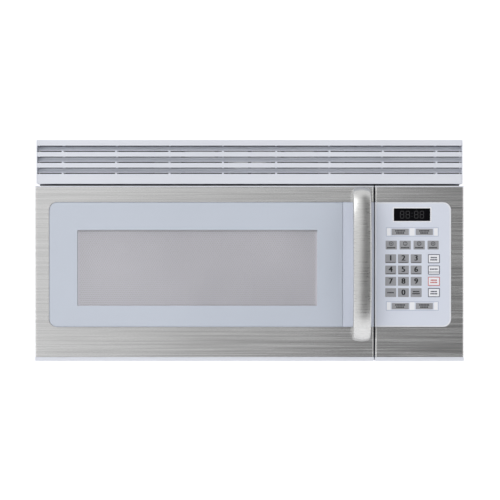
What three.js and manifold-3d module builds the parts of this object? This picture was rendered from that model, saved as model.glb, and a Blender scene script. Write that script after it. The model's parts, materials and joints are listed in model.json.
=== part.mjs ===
// An over the range microwave oven with its vent fan, as an assembly of separate pieces.
// Millimetres, +Z up. The front faces -Y, the back face lies on y = 0.
// The model is drawn with z = 0 at its bottom edge, and moved at the end so that the origin
// is the middle of the back face, where the oven hangs against the wall.
import * as THREE from 'three';
import { mergeVertices } from 'three/addons/utils/BufferGeometryUtils.js';
import Module from 'manifold-3d';

const wasm = await Module();
wasm.setup();

// ---- Driving sizes: the whole ----
const width = 759; // across the door and the control panel
const height = 392; // bottom edge to the top of the case
const caseDepth = 345; // back face to the front flange
const sheet = 1.2; // steel of the case
const fit = 0.3; // gap between pieces that rest on each other
const runningGap = 0.3; // gap round a shaft in its bearing

// ---- Driving sizes: case ----
const caseInset = 3.5; // the door stands this far past each case side
const bendRadius = 4;
const ductWidth = 31; // air passage between a case side and the cavity
const ductOutlet = { wide: 254, deep: 83, fromBack: 32 };
const cordHoleRadius = 9;
const filterInset = 26; // grease filter to the case side
const filterCentreKeepout = 135; // filters stay this far from the middle
const filterDepth = 140;
const filterFromFront = 45;
const lampOpening = { wide: 120, deep: 62, fromFront: 14 };

// ---- Driving sizes: cavity ----
const cavityWall = 1;
const cavityCorner = 8;
const cavityFloor = 52;
const ceilingDrop = 33; // cavity ceiling below the top of the door
const cavityToDoorEdge = 55; // room for the choke and the latch
const backSpace = 22; // behind the cavity

// ---- Driving sizes: front ----
const grilleHeight = 78;
const grilleInset = 2; // grille ends inside the door's width
const grilleTopInset = 0.5;
const grilleDepth = 38;
const grilleDoorGap = 3.5; // dark line between grille and door
const louvrePitch = 19.46;
const louvreNose = 7.6;
const louvreSlit = 1.9;
const louvreWall = 2;
const louvreRibs = 8;
const louvreRibMargin = 48.4; // outer ribs to the ends
const controlWidth = 157.5;
const controlGap = 2.1; // upright line between door and control panel
const doorThickness = 38;
const doorGap = 2; // door back to the front flange
const skinThickness = 0.8;
const skinWrap = 12; // how far the steel skin turns back round an edge
const edgeRadius = 3;
const topLip = 2; // plastic edge above the steel skin
const bottomLip = 7; // plastic edge below the steel skin
const frameFace = 4; // front wall of the door's plastic frame
const frameWall = 3;
const insetMargin = 25.3; // steel border left and right of the pale inset
const insetBottom = 60.5;
const insetTopDrop = 29.2;
const insetCorner = 14;
const insetSeat = 2.6; // depth of the seat that holds the inset
const insetProud = 0.4; // strip and keypad stand past the steel
const windowRecess = 0.6; // window panel lies below the steel
const stripWidth = 54.5; // pale strip behind the handle
const stripGap = 0.6;
const controlBorder = 23; // steel border right of the keypad

// ---- Driving sizes: window, choke, glass ----
const windowMargin = { left: 49.6, right: 100, bottom: 37.1, top: 49.1 };
const screenLap = 8;
const screenThickness = 0.8;
const screenColumns = 16;
const screenRows = 5;
const screenHole = 14; // corner to corner of a square hole
const chokeWall = 1;
const chokeChannel = 29; // width of the choke's channel
const chokeBack = 5; // channel mouth to the door's back
const glassThickness = 3;

// ---- Driving sizes: hinge and latch ----
const hingeInset = 13.5; // hinge axis to the door's left face
const hingeFromFront = 15; // hinge axis to the door's front
const hingePin = 3;
const hingePinLength = 10;
const bushWall = 2.7;
const hingeNotch = 3.5;
const hingeFaceGap = 0.7; // bracket arm to the door's end face
const hingeArm = 1.2;
const hingeArmLeft = 3;
const hingeArmRight = 12;
const hingeBlock = 17;
const latchThickness = 4;
const latchLift = 4;
const latchFromEdge = 18.9; // latch plate to the door's right face
const latchHookReach = 16; // past the door's back
const latchHookRise = 75; // lower hook above the door's bottom, and upper hook below its top
const springRadius = 4;
const springWire = 0.8;
const springTurns = 5;
const springLength = 25;

// ---- Driving sizes: handle ----
const handleWidth = 32;
const handleEdge = 5.9; // handle to the door's right face
const handleBottom = 34.3;
const handleTopDrop = 2.2;
const handleReach = 38; // out from the door's front
const handleThickness = 12;
const handleFoot = 20;

// ---- Driving sizes: display and keypad ----
const display = { fromLeft: 33.6, wide: 63.9, tall: 21.8, drop: 11 };

// ---- Driving sizes: turntable ----
const trayWallClearance = 8;
const trayThickness = 4;
const trayRise = 12;
const rollerRadius = 8.5;
const rollerWidth = 8;
const rollerTrack = 108;
const rollerAxle = 2;
const ringWidth = 10;
const ringHeight = 5;
const couplerShaft = 4;
const couplerRadius = 14;
const motorCan = 25;

// ---- Driving sizes: vent blower and cooling fan ----
const wheelRadius = 38;
const wheelLength = 74;
const wheelBlades = 16;
const wheelRim = 7; // radial depth of a blade
const scrollStart = wheelRadius + 4;
const scrollEnd = wheelRadius + 16;
const scrollWall = 1.6;
const blowerMotorRadius = 36;
const blowerMotorLength = 84;
const blowerShaftRadius = 4;
const blowerFromBack = 72;
const outletReach = 78; // blower axis to the mouth of its outlet
const fanRadius = 58;
const fanBlades = 5;
const fanShaftRadius = 2.5;
const fanFromBack = 50;

// ---- Places worked out from the sizes ----
const half = width / 2;
const caseHalf = half - caseInset;
const grilleTop = height - grilleTopInset;
const grilleBottom = grilleTop - grilleHeight;
const doorTop = grilleBottom - grilleDoorGap;
const flangeFront = -caseDepth;
const flangeBack = flangeFront + sheet;
const doorBack = flangeFront - doorGap;
const doorFront = doorBack - doorThickness;
const frameFront = doorFront + skinThickness + fit;
const frameFaceBack = frameFront + frameFace;
const controlLeft = half - controlWidth;
const doorRight = controlLeft - controlGap;
const doorLeft = -half;
const cavityLeft = -caseHalf + ductWidth;
const cavityRight = doorRight - cavityToDoorEdge;
const cavityTop = doorTop - ceilingDrop;
const cavityBack = -backSpace;
const cavityFront = flangeBack + fit;
const insetLeft = doorLeft + insetMargin;
const insetTop = doorTop - insetTopDrop;
const insetRight = half - controlBorder;
const glazing = {
  x0: insetLeft + windowMargin.left,
  x1: doorRight - windowMargin.right,
  z0: insetBottom + windowMargin.bottom,
  z1: insetTop - windowMargin.top,
};
const chokeLeft = doorLeft + frameWall + 4;
const chokeRight = cavityRight + chokeChannel - 4;
const chokeBottom = hingeBlock + 1;
const chokeTop = doorTop - hingeBlock - 1;
const chokeMouth = doorBack - chokeBack;
const latchHooks = [latchHookRise, doorTop - latchHookRise];
const hinge = { x: doorLeft + hingeInset, y: doorFront + hingeFromFront };
const turntable = {
  x: (cavityLeft + cavityRight) / 2,
  y: (cavityFront + cavityBack) / 2,
};
const trayRadius = Math.min(cavityRight - cavityLeft, cavityBack - cavityFront) / 2 - trayWallClearance;
const ceilingTop = cavityTop + cavityWall;
const blowerAxisZ = ceilingTop + fit + scrollEnd;
const bay = { x0: cavityRight + cavityWall, x1: caseHalf - sheet, y0: flangeBack, y1: -sheet };

// ---- Solid tools ----
// A closed three.js geometry as a solid, turned the right way out.
function solidOf(geometry) {
  geometry.deleteAttribute('normal');
  geometry.deleteAttribute('uv');
  const merged = mergeVertices(geometry, 1e-4);
  const index = merged.index.array;
  const faces = [];
  for (let i = 0; i < index.length; i += 3) {
    const [a, b, c] = [index[i], index[i + 1], index[i + 2]];
    if (a !== b && b !== c && c !== a) faces.push(a, b, c);
  }
  const vertProperties = Float32Array.from(merged.attributes.position.array);
  const build = (triVerts) => new wasm.Manifold(new wasm.Mesh({ numProp: 3, vertProperties, triVerts }));
  const solid = build(Uint32Array.from(faces));
  return solid.volume() > 0 ? solid : build(Uint32Array.from(faces).reverse());
}

const join = (...solids) => solids.flat().reduce((a, b) => a.add(b));
const cut = (solid, ...tools) => tools.flat().reduce((a, b) => a.subtract(b), solid);

// A box between two corners.
function block(x0, x1, y0, y1, z0, z1) {
  const geometry = new THREE.BoxGeometry(x1 - x0, y1 - y0, z1 - z0);
  geometry.translate((x0 + x1) / 2, (y0 + y1) / 2, (z0 + z1) / 2);
  return solidOf(geometry);
}

// The turns that take a shape drawn in (x, y) and pushed along z to each model axis.
const toAxis = {
  x: new THREE.Matrix4().makeBasis(
    new THREE.Vector3(0, 1, 0), new THREE.Vector3(0, 0, 1), new THREE.Vector3(1, 0, 0)),
  y: new THREE.Matrix4().makeBasis(
    new THREE.Vector3(1, 0, 0), new THREE.Vector3(0, 0, 1), new THREE.Vector3(0, -1, 0)),
  z: new THREE.Matrix4(),
};

// A shape pushed from one station to another along an axis:
// drawn in (y, z) for x, in (x, z) for y and in (x, y) for z. A last turn or move may be given.
function pushed(shape, axis, from, to, curveSegments = 3, place = null) {
  const geometry = new THREE.ExtrudeGeometry(shape, { depth: to - from, bevelEnabled: false, curveSegments });
  geometry.translate(0, 0, axis === 'y' ? -to : from);
  geometry.applyMatrix4(toAxis[axis]);
  if (place) geometry.applyMatrix4(place);
  return solidOf(geometry);
}

// A profile of [radius, station] points turned round an axis through a centre.
function turned(profile, axis, centre = [0, 0, 0], sides = 14) {
  const points = profile.map(([r, h]) => new THREE.Vector2(r, h));
  const geometry = new THREE.LatheGeometry(points, sides);
  if (axis === 'z') geometry.rotateX(Math.PI / 2);
  if (axis === 'x') geometry.rotateZ(-Math.PI / 2);
  geometry.translate(...centre);
  return solidOf(geometry);
}

// A plain rod or hole between two stations of an axis.
function rod(radius, axis, centre, from, to, sides = 14) {
  const profile = [[0, from], [radius, from], [radius, to], [0, to]];
  return turned(profile, axis, centre, sides);
}

// A tube between two stations of an axis.
function tube(outer, inner, axis, centre, from, to, sides = 14) {
  const profile = [[inner, from], [outer, from], [outer, to], [inner, to], [inner, from]];
  return turned(profile, axis, centre, sides);
}

// A closed outline through points.
const outline = (points) => new THREE.Shape(points.map(([a, b]) => new THREE.Vector2(a, b)));

// A rectangle with round corners: [lower left, lower right, upper right, upper left].
function roundRect(a0, a1, b0, b1, corners) {
  const [c0, c1, c2, c3] = Array.isArray(corners) ? corners : [corners, corners, corners, corners];
  const shape = new THREE.Shape();
  shape.moveTo(a0 + c0, b0);
  shape.lineTo(a1 - c1, b0);
  if (c1 > 0) shape.absarc(a1 - c1, b0 + c1, c1, -Math.PI / 2, 0, false);
  shape.lineTo(a1, b1 - c2);
  if (c2 > 0) shape.absarc(a1 - c2, b1 - c2, c2, 0, Math.PI / 2, false);
  shape.lineTo(a0 + c3, b1);
  if (c3 > 0) shape.absarc(a0 + c3, b1 - c3, c3, Math.PI / 2, Math.PI, false);
  shape.lineTo(a0, b0 + c0);
  if (c0 > 0) shape.absarc(a0 + c0, b0 + c0, c0, Math.PI, Math.PI * 1.5, false);
  return shape;
}

// A closed ring of box section standing on an axis: outer box less inner box.
function frameAlongY(outer, inner, y0, y1) {
  return cut(
    block(outer.x0, outer.x1, y0, y1, outer.z0, outer.z1),
    block(inner.x0, inner.x1, y0 - 1, y1 + 1, inner.z0, inner.z1),
  );
}

const grown = (box, by) => ({ x0: box.x0 - by, x1: box.x1 + by, z0: box.z0 - by, z1: box.z1 + by });
const count = (n) => Array.from({ length: n }, (_, i) => i);

// ---- Finishes ----
const paint = (color, roughness = 0.5, metalness = 0) =>
  new THREE.MeshStandardMaterial({ color, roughness, metalness });
const galvanised = () => paint(0xa9adb0, 0.45, 0.9);
const brushedSteel = () => paint(0xb4b3b1, 0.35, 1);
const whitePlastic = () => paint(0xe9ebf0, 0.35);
const insetWhite = () => paint(0xcfd6ea, 0.12);
const blackPlastic = () => paint(0x1c1c1f, 0.5);
const greyPlastic = () => paint(0x8d9094, 0.5);
const clearGlass = () => paint(0xc8d4dc, 0.05);

// ---- The assembly ----
const oven = new THREE.Group();
function group(x = 0, y = 0, z = 0, parent = oven) {
  const nested = new THREE.Group();
  nested.position.set(x, y, z);
  parent.add(nested);
  return nested;
}
const cabinet = group();
const door = group();
const turntableGroup = group(turntable.x, turntable.y, cavityFloor);
const blower = group(0, -blowerFromBack, blowerAxisZ);

function add(parent, name, solid, material) {
  const { vertProperties, triVerts } = solid.getMesh();
  const geometry = new THREE.BufferGeometry();
  geometry.setAttribute('position', new THREE.BufferAttribute(Float32Array.from(vertProperties), 3));
  geometry.setIndex(new THREE.BufferAttribute(Uint32Array.from(triVerts), 1));
  geometry.computeVertexNormals();
  const mesh = new THREE.Mesh(geometry, material);
  mesh.name = name;
  parent.add(mesh);
  return mesh;
}

// ---- Case: wrap, back, base and front flange ----
// The wrap is one folded sheet, two sides and the top, with the duct outlet and the cord hole.
function caseWrap() {
  const z1 = height;
  const outer = roundRect(-caseHalf, caseHalf, 0, z1, [0, 0, bendRadius, bendRadius]);
  const inner = roundRect(
    -caseHalf + sheet, caseHalf - sheet, -1, z1 - sheet,
    [0, 0, bendRadius - sheet, bendRadius - sheet]);
  const y0 = flangeBack + fit;
  const y1 = -sheet - fit;
  const shell = cut(pushed(outer, 'y', y0, y1), pushed(inner, 'y', y0 - 1, y1 + 1));
  const outletBack = -ductOutlet.fromBack;
  const outlet = block(
    -ductOutlet.wide / 2, ductOutlet.wide / 2, outletBack - ductOutlet.deep, outletBack,
    z1 - bendRadius, z1 + 1);
  const cordHole = rod(cordHoleRadius, 'z', [caseHalf - 60, -45, 0], z1 - bendRadius, z1 + 1);
  return cut(shell, outlet, cordHole);
}

// The wall plate's tabs catch in two slots low in the back.
function backPlate() {
  const outer = roundRect(-caseHalf, caseHalf, 0, height, [0, 0, bendRadius, bendRadius]);
  const plate = pushed(outer, 'y', -sheet, 0);
  const slots = [-1, 1].map((side) => {
    const x = side * (caseHalf - 110);
    return block(x - 30, x + 30, -sheet - 1, 1, 14, 20);
  });
  return cut(plate, slots);
}

const filterBox = (side) => {
  const inner = filterCentreKeepout;
  const outer = caseHalf - filterInset;
  const y0 = flangeFront + filterFromFront;
  return { x0: side < 0 ? -outer : inner, x1: side < 0 ? -inner : outer, y0, y1: y0 + filterDepth };
};
const lamp = {
  x0: -lampOpening.wide / 2,
  x1: lampOpening.wide / 2,
  y0: flangeFront + lampOpening.fromFront,
  y1: flangeFront + lampOpening.fromFront + lampOpening.deep,
};

// The base has an upturned lip round each grease filter opening and one for the cooktop lamp.
function basePlate() {
  const x1 = caseHalf - sheet - fit;
  const lip = 6;
  const openings = [-1, 1].map(filterBox);
  let plate = block(-x1, x1, flangeBack + fit, -sheet - fit, 0, sheet);
  for (const o of openings) {
    plate = join(plate, block(o.x0 - sheet, o.x1 + sheet, o.y0 - sheet, o.y1 + sheet, 0, sheet + lip));
  }
  for (const o of openings) plate = cut(plate, block(o.x0, o.x1, o.y0, o.y1, -1, sheet + lip + 1));
  return cut(plate, block(lamp.x0, lamp.x1, lamp.y0, lamp.y1, -1, sheet + 1));
}

// The front plate and its header carry the cavity, hinges, latch, control panel and grille.
const latchX = doorRight - latchFromEdge;
const hookSlot = { wide: latchThickness + 5, above: latchLift + 7, below: 9 };
const filterWindow = { x0: -180, x1: 180, z0: grilleBottom + 9, z1: grilleTop - 9 };
const headerBottom = cavityTop;
function frontPlate() {
  const cavityMouth = roundRect(
    cavityLeft, cavityRight, cavityFloor, cavityTop + 1, [cavityCorner, cavityCorner, 0, 0]);
  const slots = latchHooks.map((z) => block(
    latchX - hookSlot.wide / 2, latchX + hookSlot.wide / 2, flangeFront - 1, flangeBack + 1,
    z - hookSlot.below, z + hookSlot.above));
  return cut(
    block(-caseHalf, caseHalf, flangeFront, flangeBack, 0, headerBottom - fit),
    pushed(cavityMouth, 'y', flangeFront - 1, flangeBack + 1),
    slots,
    block(controlLeft + 40, insetRight - 20, flangeFront - 1, flangeBack + 1, 120, 180),
  );
}

// A second sheet closes the front above the cavity and holds the air filter.
function frontHeader() {
  const outer = roundRect(-caseHalf, caseHalf, headerBottom, height, [0, 0, bendRadius, bendRadius]);
  const w = filterWindow;
  return cut(
    pushed(outer, 'y', flangeFront, flangeBack),
    block(w.x0, w.x1, flangeFront - 1, flangeBack + 1, w.z0, w.z1));
}

add(cabinet, 'case_wrap', caseWrap(), paint(0xd9dbe0, 0.4, 0.3));
add(cabinet, 'back_plate', backPlate(), galvanised());
add(cabinet, 'base_plate', basePlate(), paint(0xd9dbe0, 0.4, 0.3));
add(cabinet, 'front_plate', frontPlate(), paint(0xd4d8e2, 0.35, 0.3));
add(cabinet, 'front_header', frontHeader(), paint(0xd4d8e2, 0.35, 0.3));

// ---- Oven cavity ----
const feed = {
  y0: cavityBack - 190,
  y1: cavityBack - 110,
  z: THREE.MathUtils.lerp(cavityFloor, cavityTop, 0.658),
  tall: 36,
};
const lampPort = { y: cavityFront + 55, z: cavityTop - 30, radius: 11 };
const cavityOutside = [cavityFront, cavityBack + cavityWall, cavityFloor - cavityWall, ceilingTop];
function ovenCavity() {
  const inner = roundRect(
    cavityLeft, cavityRight + 1, cavityFloor, cavityTop, [cavityCorner, 0, 0, cavityCorner]);
  return cut(
    block(cavityLeft - cavityWall, cavityRight - fit, ...cavityOutside),
    pushed(inner, 'y', cavityFront - 1, cavityBack),
    rod(couplerShaft + 4, 'z', [turntable.x, turntable.y, 0], cavityFloor - 3, cavityFloor + 1, 12));
}

// The cavity's right wall is a flat sheet with the feed port and the lamp's port.
function cavitySide() {
  const through = [cavityRight - 2, cavityRight + cavityWall + 2];
  return cut(
    block(cavityRight, cavityRight + cavityWall, ...cavityOutside),
    block(...through, feed.y0, feed.y1, feed.z - feed.tall / 2, feed.z + feed.tall / 2),
    rod(lampPort.radius, 'x', [0, lampPort.y, lampPort.z], ...through, 10),
  );
}
add(cabinet, 'oven_cavity', ovenCavity(), paint(0xe6e8ea, 0.45));
add(cabinet, 'cavity_side', cavitySide(), paint(0xe6e8ea, 0.45));

// A mica sheet covers the feed port inside the cavity.
add(cabinet, 'waveguide_cover', pushed(
  roundRect(feed.y0 - 8, feed.y1 + 8, feed.z - feed.tall / 2 - 8, feed.z + feed.tall / 2 + 8, 6),
  'x', cavityRight - fit - 0.8, cavityRight - fit, 3), paint(0xb9ae94, 0.6));

// ---- Microwave source, in the bay right of the cavity ----
const guide = {
  x0: bay.x0 + fit,
  x1: bay.x0 + fit + 42,
  y0: feed.y0 - 6,
  y1: feed.y1 + 50,
  z0: feed.z - feed.tall / 2 - 6,
  z1: feed.z + feed.tall / 2 + 34,
};
const antenna = { y: feed.y1 + 8, z: feed.z + 12, radius: 8 };
function waveguide() {
  const wall = 1.2;
  const flange = 8;
  const body = join(
    block(guide.x0, guide.x1, guide.y0, guide.y1, guide.z0, guide.z1),
    block(
      guide.x0, guide.x0 + wall, guide.y0 - flange, guide.y1 + flange,
      guide.z0 - flange, guide.z1 + flange));
  return cut(
    body,
    block(
      guide.x0 + wall, guide.x1 - wall, guide.y0 + wall, guide.y1 - wall,
      guide.z0 + wall, guide.z1 - wall),
    block(
      guide.x0 - 1, guide.x0 + wall + 1, feed.y0, feed.y1,
      feed.z - feed.tall / 2, feed.z + feed.tall / 2),
    rod(antenna.radius + 2, 'x', [0, antenna.y, antenna.z], guide.x1 - wall - 1, guide.x1 + 1, 12));
}
add(cabinet, 'waveguide', waveguide(), galvanised());

// Anode block with cooling fins between a magnet yoke's plates, and the antenna that enters the guide.
function magnetron() {
  const x0 = guide.x1 + fit;
  const tall = 84;
  const deep = 88;
  const y0 = antenna.y - deep / 2;
  const y1 = antenna.y + deep / 2;
  const z0 = antenna.z - tall / 2;
  const z1 = antenna.z + tall / 2;
  const long = 76;
  const yoke = cut(
    block(x0, x0 + long, y0, y1, z0, z1),
    block(x0 + 2, x0 + long - 2, y0 - 1, y1 + 1, z0 + 2, z1 - 2));
  const fins = count(4).map((i) => {
    const x = x0 + 16 + i * 12;
    return block(x, x + 1, y0 + 3, y1 - 3, z0 + 1, z1 - 1);
  });
  const anode = rod(20, 'x', [0, antenna.y, antenna.z], x0 + 1, x0 + long - 1, 12);
  const probe = rod(antenna.radius, 'x', [0, antenna.y, antenna.z], x0 - 30, x0 + 3, 12);
  const filter = block(x0 + long - 1, x0 + long + 22, y0 + 16, y1 - 16, z0 + 16, z1 - 16);
  return join(yoke, fins, anode, probe, filter);
}
add(cabinet, 'magnetron', magnetron(), paint(0xa0a4a8, 0.4, 0.9));

// Laminated core on two feet, with the primary and secondary windings bulging from its windows.
const floorTop = sheet + fit;
function transformer() {
  const x = (bay.x0 + bay.x1) / 2 - 6;
  const y = -58;
  const core = cut(
    block(x - 48, x + 48, y - 30, y + 30, floorTop, floorTop + 82),
    block(x - 32, x - 16, y - 31, y + 31, floorTop + 18, floorTop + 66),
    block(x + 16, x + 32, y - 31, y + 31, floorTop + 18, floorTop + 66));
  const feet = block(x - 48, x + 48, y - 40, y + 40, floorTop, floorTop + 2);
  const coil = (z0, z1) => cut(
    pushed(roundRect(x - 31, x + 31, y - 45, y + 45, 14), 'z', floorTop + z0, floorTop + z1, 2),
    block(x - 15, x + 15, y - 29, y + 29, floorTop, floorTop + 90));
  return join(core, feet, coil(19, 40), coil(44, 65));
}
add(cabinet, 'transformer', transformer(), paint(0x7c6a55, 0.5, 0.5));

// An oval can with two spade terminals, in its strap on the base.
function capacitor() {
  const x = bay.x1 - 24;
  const y = -90;
  const can = pushed(roundRect(x - 17, x + 17, y - 27, y + 27, 16), 'z', floorTop + 2, floorTop + 88, 4);
  const strap = cut(
    block(x - 19, x + 19, y - 42, y + 42, floorTop, floorTop + 3),
    rod(2.5, 'z', [x, y - 36, 0], 0, 9, 8),
    rod(2.5, 'z', [x, y + 36, 0], 0, 9, 8));
  const terminals = [-10, 10].map((dy) =>
    block(x - 0.5, x + 0.5, y + dy - 3, y + dy + 3, floorTop + 87, floorTop + 100));
  return join(can, strap, terminals);
}
add(cabinet, 'capacitor', capacitor(), paint(0xb9bcc0, 0.35, 0.9));

// ---- Cooling fan behind the magnetron ----
const fan = { x: bay.x0 + 96, y: -fanFromBack, z: antenna.z };
const fanGroup = group(fan.x, fan.y, fan.z);
const shroudFront = -24; // stations along Y from the fan's middle
const bridge = { y0: 4, y1: 6 };

// A square plate with the fan's ring, four legs to the back of the case and a bridge for the motor.
function fanShroud() {
  const side = fanRadius + 7;
  const legEnd = fanFromBack - sheet - fit;
  const plate = block(-side, side, shroudFront, shroudFront + 2, -side, side);
  const ring = rod(fanRadius + 3, 'y', [0, 0, 0], shroudFront, -2, 20);
  const legs = [-1, 1].flatMap((sx) => [-1, 1].map((sz) => {
    const x = sx * (side - 5);
    const z = sz * (side - 5);
    return block(x - 4, x + 4, shroudFront, legEnd, z - 4, z + 4);
  }));
  const bar = block(-side + 1, side - 1, bridge.y0, bridge.y1, -9, 9);
  const struts = [-1, 1].map((sx) => {
    const x = sx * (side - 5);
    return block(x - 4, x + 4, shroudFront, bridge.y1, -9, 9);
  });
  const body = cut(join(plate, ring), rod(fanRadius + 1.5, 'y', [0, 0, 0], shroudFront - 1, 0, 20));
  return cut(
    join(body, legs, bar, struts),
    rod(fanShaftRadius + 2, 'y', [0, 0, 0], bridge.y0 - 1, bridge.y1 + 1, 12));
}
add(fanGroup, 'cooling_fan_shroud', fanShroud(), blackPlastic());

// Shaded pole motor: laminations with a coil beside the rotor's bore.
function fanMotor() {
  const y0 = bridge.y1 + fit;
  const core = block(-28, 28, y0, y0 + 18, -24, 24);
  const coil = pushed(roundRect(-16, 16, -38, -14, 5), 'y', y0 + 1, y0 + 26, 3);
  const cap = rod(11, 'y', [0, 0, 0], y0 + 16, y0 + 24, 14);
  return cut(
    join(core, coil, cap),
    rod(fanShaftRadius + runningGap, 'y', [0, 0, 0], y0 - 1, y0 + 20, 12));
}
add(fanGroup, 'cooling_fan_motor', fanMotor(), paint(0x8f8a80, 0.5, 0.6));

// Pitched blades, each a thin plate turned about its radius, on a hub with the shaft.
function fanBlade() {
  const hub = rod(13, 'y', [0, 0, 0], shroudFront + 3, -6, 14);
  const shaft = rod(fanShaftRadius, 'y', [0, 0, 0], -10, bridge.y1 + fit + 15, 12);
  const reach = fanRadius - 1.5;
  const middle = new THREE.Matrix4().makeTranslation(0, (shroudFront - 3) / 2, 0);
  const pitch = new THREE.Matrix4().makeRotationZ(THREE.MathUtils.degToRad(24));
  const blades = count(fanBlades).map((i) => {
    const shape = outline([
      [-9, 8], [9, 8], [17, reach - 14], [11, reach - 3], [-11, reach - 3], [-17, reach - 14]]);
    const turn = new THREE.Matrix4().makeRotationY((i * Math.PI * 2) / fanBlades);
    return pushed(shape, 'y', -0.7, 0.7, 1, middle.clone().multiply(turn).multiply(pitch));
  });
  return join(hub, shaft, blades);
}
add(fanGroup, 'cooling_fan_blade', fanBlade(), whitePlastic());

// ---- Vent blower above the cavity: a motor between two scroll housings ----
const housing = {
  from: blowerMotorLength / 2 + fit,
  to: blowerMotorLength / 2 + fit + wheelLength + 2 * scrollWall + 6,
};

// The scroll grows from its tongue round the top and the back, and leaves forward along the floor.
function scroll(inset) {
  const tongue = -18;
  const steps = 15;
  const sweep = 270 - tongue;
  const points = count(steps + 1).map((i) => {
    const angle = THREE.MathUtils.degToRad(tongue + (sweep * i) / steps);
    const radius = scrollStart + ((scrollEnd - scrollStart) * i) / steps - inset;
    return [-radius * Math.cos(angle), radius * Math.sin(angle)];
  });
  const mouth = -outletReach - (inset > 0 ? 1 : 0);
  const lipZ = points[0][1] - 2 + (inset > 0 ? 0 : 2);
  return outline([...points, [mouth, -scrollEnd + inset], [mouth, lipZ]]);
}

function blowerHousing(side) {
  const [a, b] = side > 0 ? [housing.from, housing.to] : [-housing.to, -housing.from];
  const inletRadius = wheelRadius - wheelRim;
  const outerWall = side > 0 ? [b - scrollWall - 1, b + 1] : [a - 1, a + scrollWall + 1];
  const innerWall = side > 0 ? [a - 1, a + scrollWall + 1] : [b - scrollWall - 1, b + 1];
  return cut(
    pushed(scroll(0), 'x', a, b),
    pushed(scroll(scrollWall), 'x', a + scrollWall, b - scrollWall),
    rod(inletRadius, 'x', [0, 0, 0], ...outerWall, 24),
    rod(blowerShaftRadius + 6, 'x', [0, 0, 0], ...innerWall, 12));
}
add(blower, 'blower_housing_left', blowerHousing(-1), paint(0x3a3b3e, 0.5));
add(blower, 'blower_housing_right', blowerHousing(1), paint(0x3a3b3e, 0.5));

// The can's feet stand on the cavity, and the shaft runs through it in two bearings.
function blowerMotor() {
  const halfLength = blowerMotorLength / 2;
  const can = turned([
    [0, -halfLength], [14, -halfLength], [14, -halfLength + 6], [blowerMotorRadius - 5, -halfLength + 6],
    [blowerMotorRadius, -halfLength + 11], [blowerMotorRadius, halfLength - 11],
    [blowerMotorRadius - 5, halfLength - 6],
    [14, halfLength - 6], [14, halfLength], [0, halfLength]], 'x', [0, 0, 0], 16);
  const foot = block(-24, 24, -30, 30, -scrollEnd, -scrollEnd + 3);
  const stand = block(-20, 20, -18, 18, -scrollEnd, -blowerMotorRadius + 6);
  const hollow = block(-17, 17, -19, 19, -scrollEnd + 3, -blowerMotorRadius + 1);
  return cut(
    join(can, foot, cut(stand, hollow)),
    rod(blowerShaftRadius + runningGap, 'x', [0, 0, 0], -halfLength - 1, halfLength + 1, 12));
}
add(blower, 'blower_motor', blowerMotor(), galvanised());

// Squirrel cage: forward curved blades between two end rings, on a hub disc at the motor's side.
function blowerWheel(side) {
  const start = housing.from + scrollWall + 3;
  const end = start + wheelLength;
  const [a, b] = side > 0 ? [start, end] : [-end, -start];
  const discAt = side > 0 ? a : b - 2;
  const ringInner = wheelRadius - wheelRim;
  const disc = rod(ringInner + 2, 'x', [0, 0, 0], discAt, discAt + 2, 24);
  const hub = rod(10, 'x', [0, 0, 0], side > 0 ? a : b - 16, side > 0 ? a + 16 : b, 16);
  const rings = [a, b - 2.5].map((x) => tube(wheelRadius, ringInner, 'x', [0, 0, 0], x, x + 2.5, 20));
  const blades = count(wheelBlades).map((i) => {
    const turn = new THREE.Matrix4().makeRotationX((i * Math.PI * 2) / wheelBlades);
    const r0 = ringInner + 0.6;
    const r1 = wheelRadius - 0.6;
    const mid = (r0 + r1) / 2;
    const shape = outline([[-1.2, r0], [0.2, r0], [mid - r0, r1], [mid - r0 - 1.4, r1]]);
    return pushed(shape, 'x', a + 1, b - 1, 1, turn);
  });
  return cut(
    join(disc, hub, rings, blades),
    rod(blowerShaftRadius + fit, 'x', [0, 0, 0], a - 1, b + 1, 12));
}
add(blower, 'blower_wheel_left', blowerWheel(-1), blackPlastic());
add(blower, 'blower_wheel_right', blowerWheel(1), blackPlastic());
const shaftEnd = housing.from + scrollWall + 3 + 18;
add(blower, 'blower_shaft', rod(blowerShaftRadius, 'x', [0, 0, 0], -shaftEnd, shaftEnd, 12), brushedSteel());

// ---- Lamps ----
// A bulb in a holder on the cavity's side wall lights the food through a port.
function ovenLamp() {
  const x0 = bay.x0 + fit;
  const [y, z] = [lampPort.y, lampPort.z];
  const plate = block(x0, x0 + 1.5, y - 20, y + 20, z - 18, z + 18);
  const cup = cut(
    block(x0, x0 + 34, y - 15, y + 15, z - 15, z + 15),
    block(x0 - 1, x0 + 26, y - 13.5, y + 13.5, z - 13.5, z + 13.5));
  const open = cut(join(plate, cup), block(x0 - 1, x0 + 3, y - 12, y + 12, z - 12, z + 12));
  const bulb = turned([[0, 5], [6, 7], [9, 13], [8, 19], [5, 24], [5, 28], [0, 28]], 'x', [x0, y, z], 12);
  return join(open, bulb);
}
add(cabinet, 'oven_lamp', ovenLamp(), paint(0xd8d4c4, 0.3));

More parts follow.
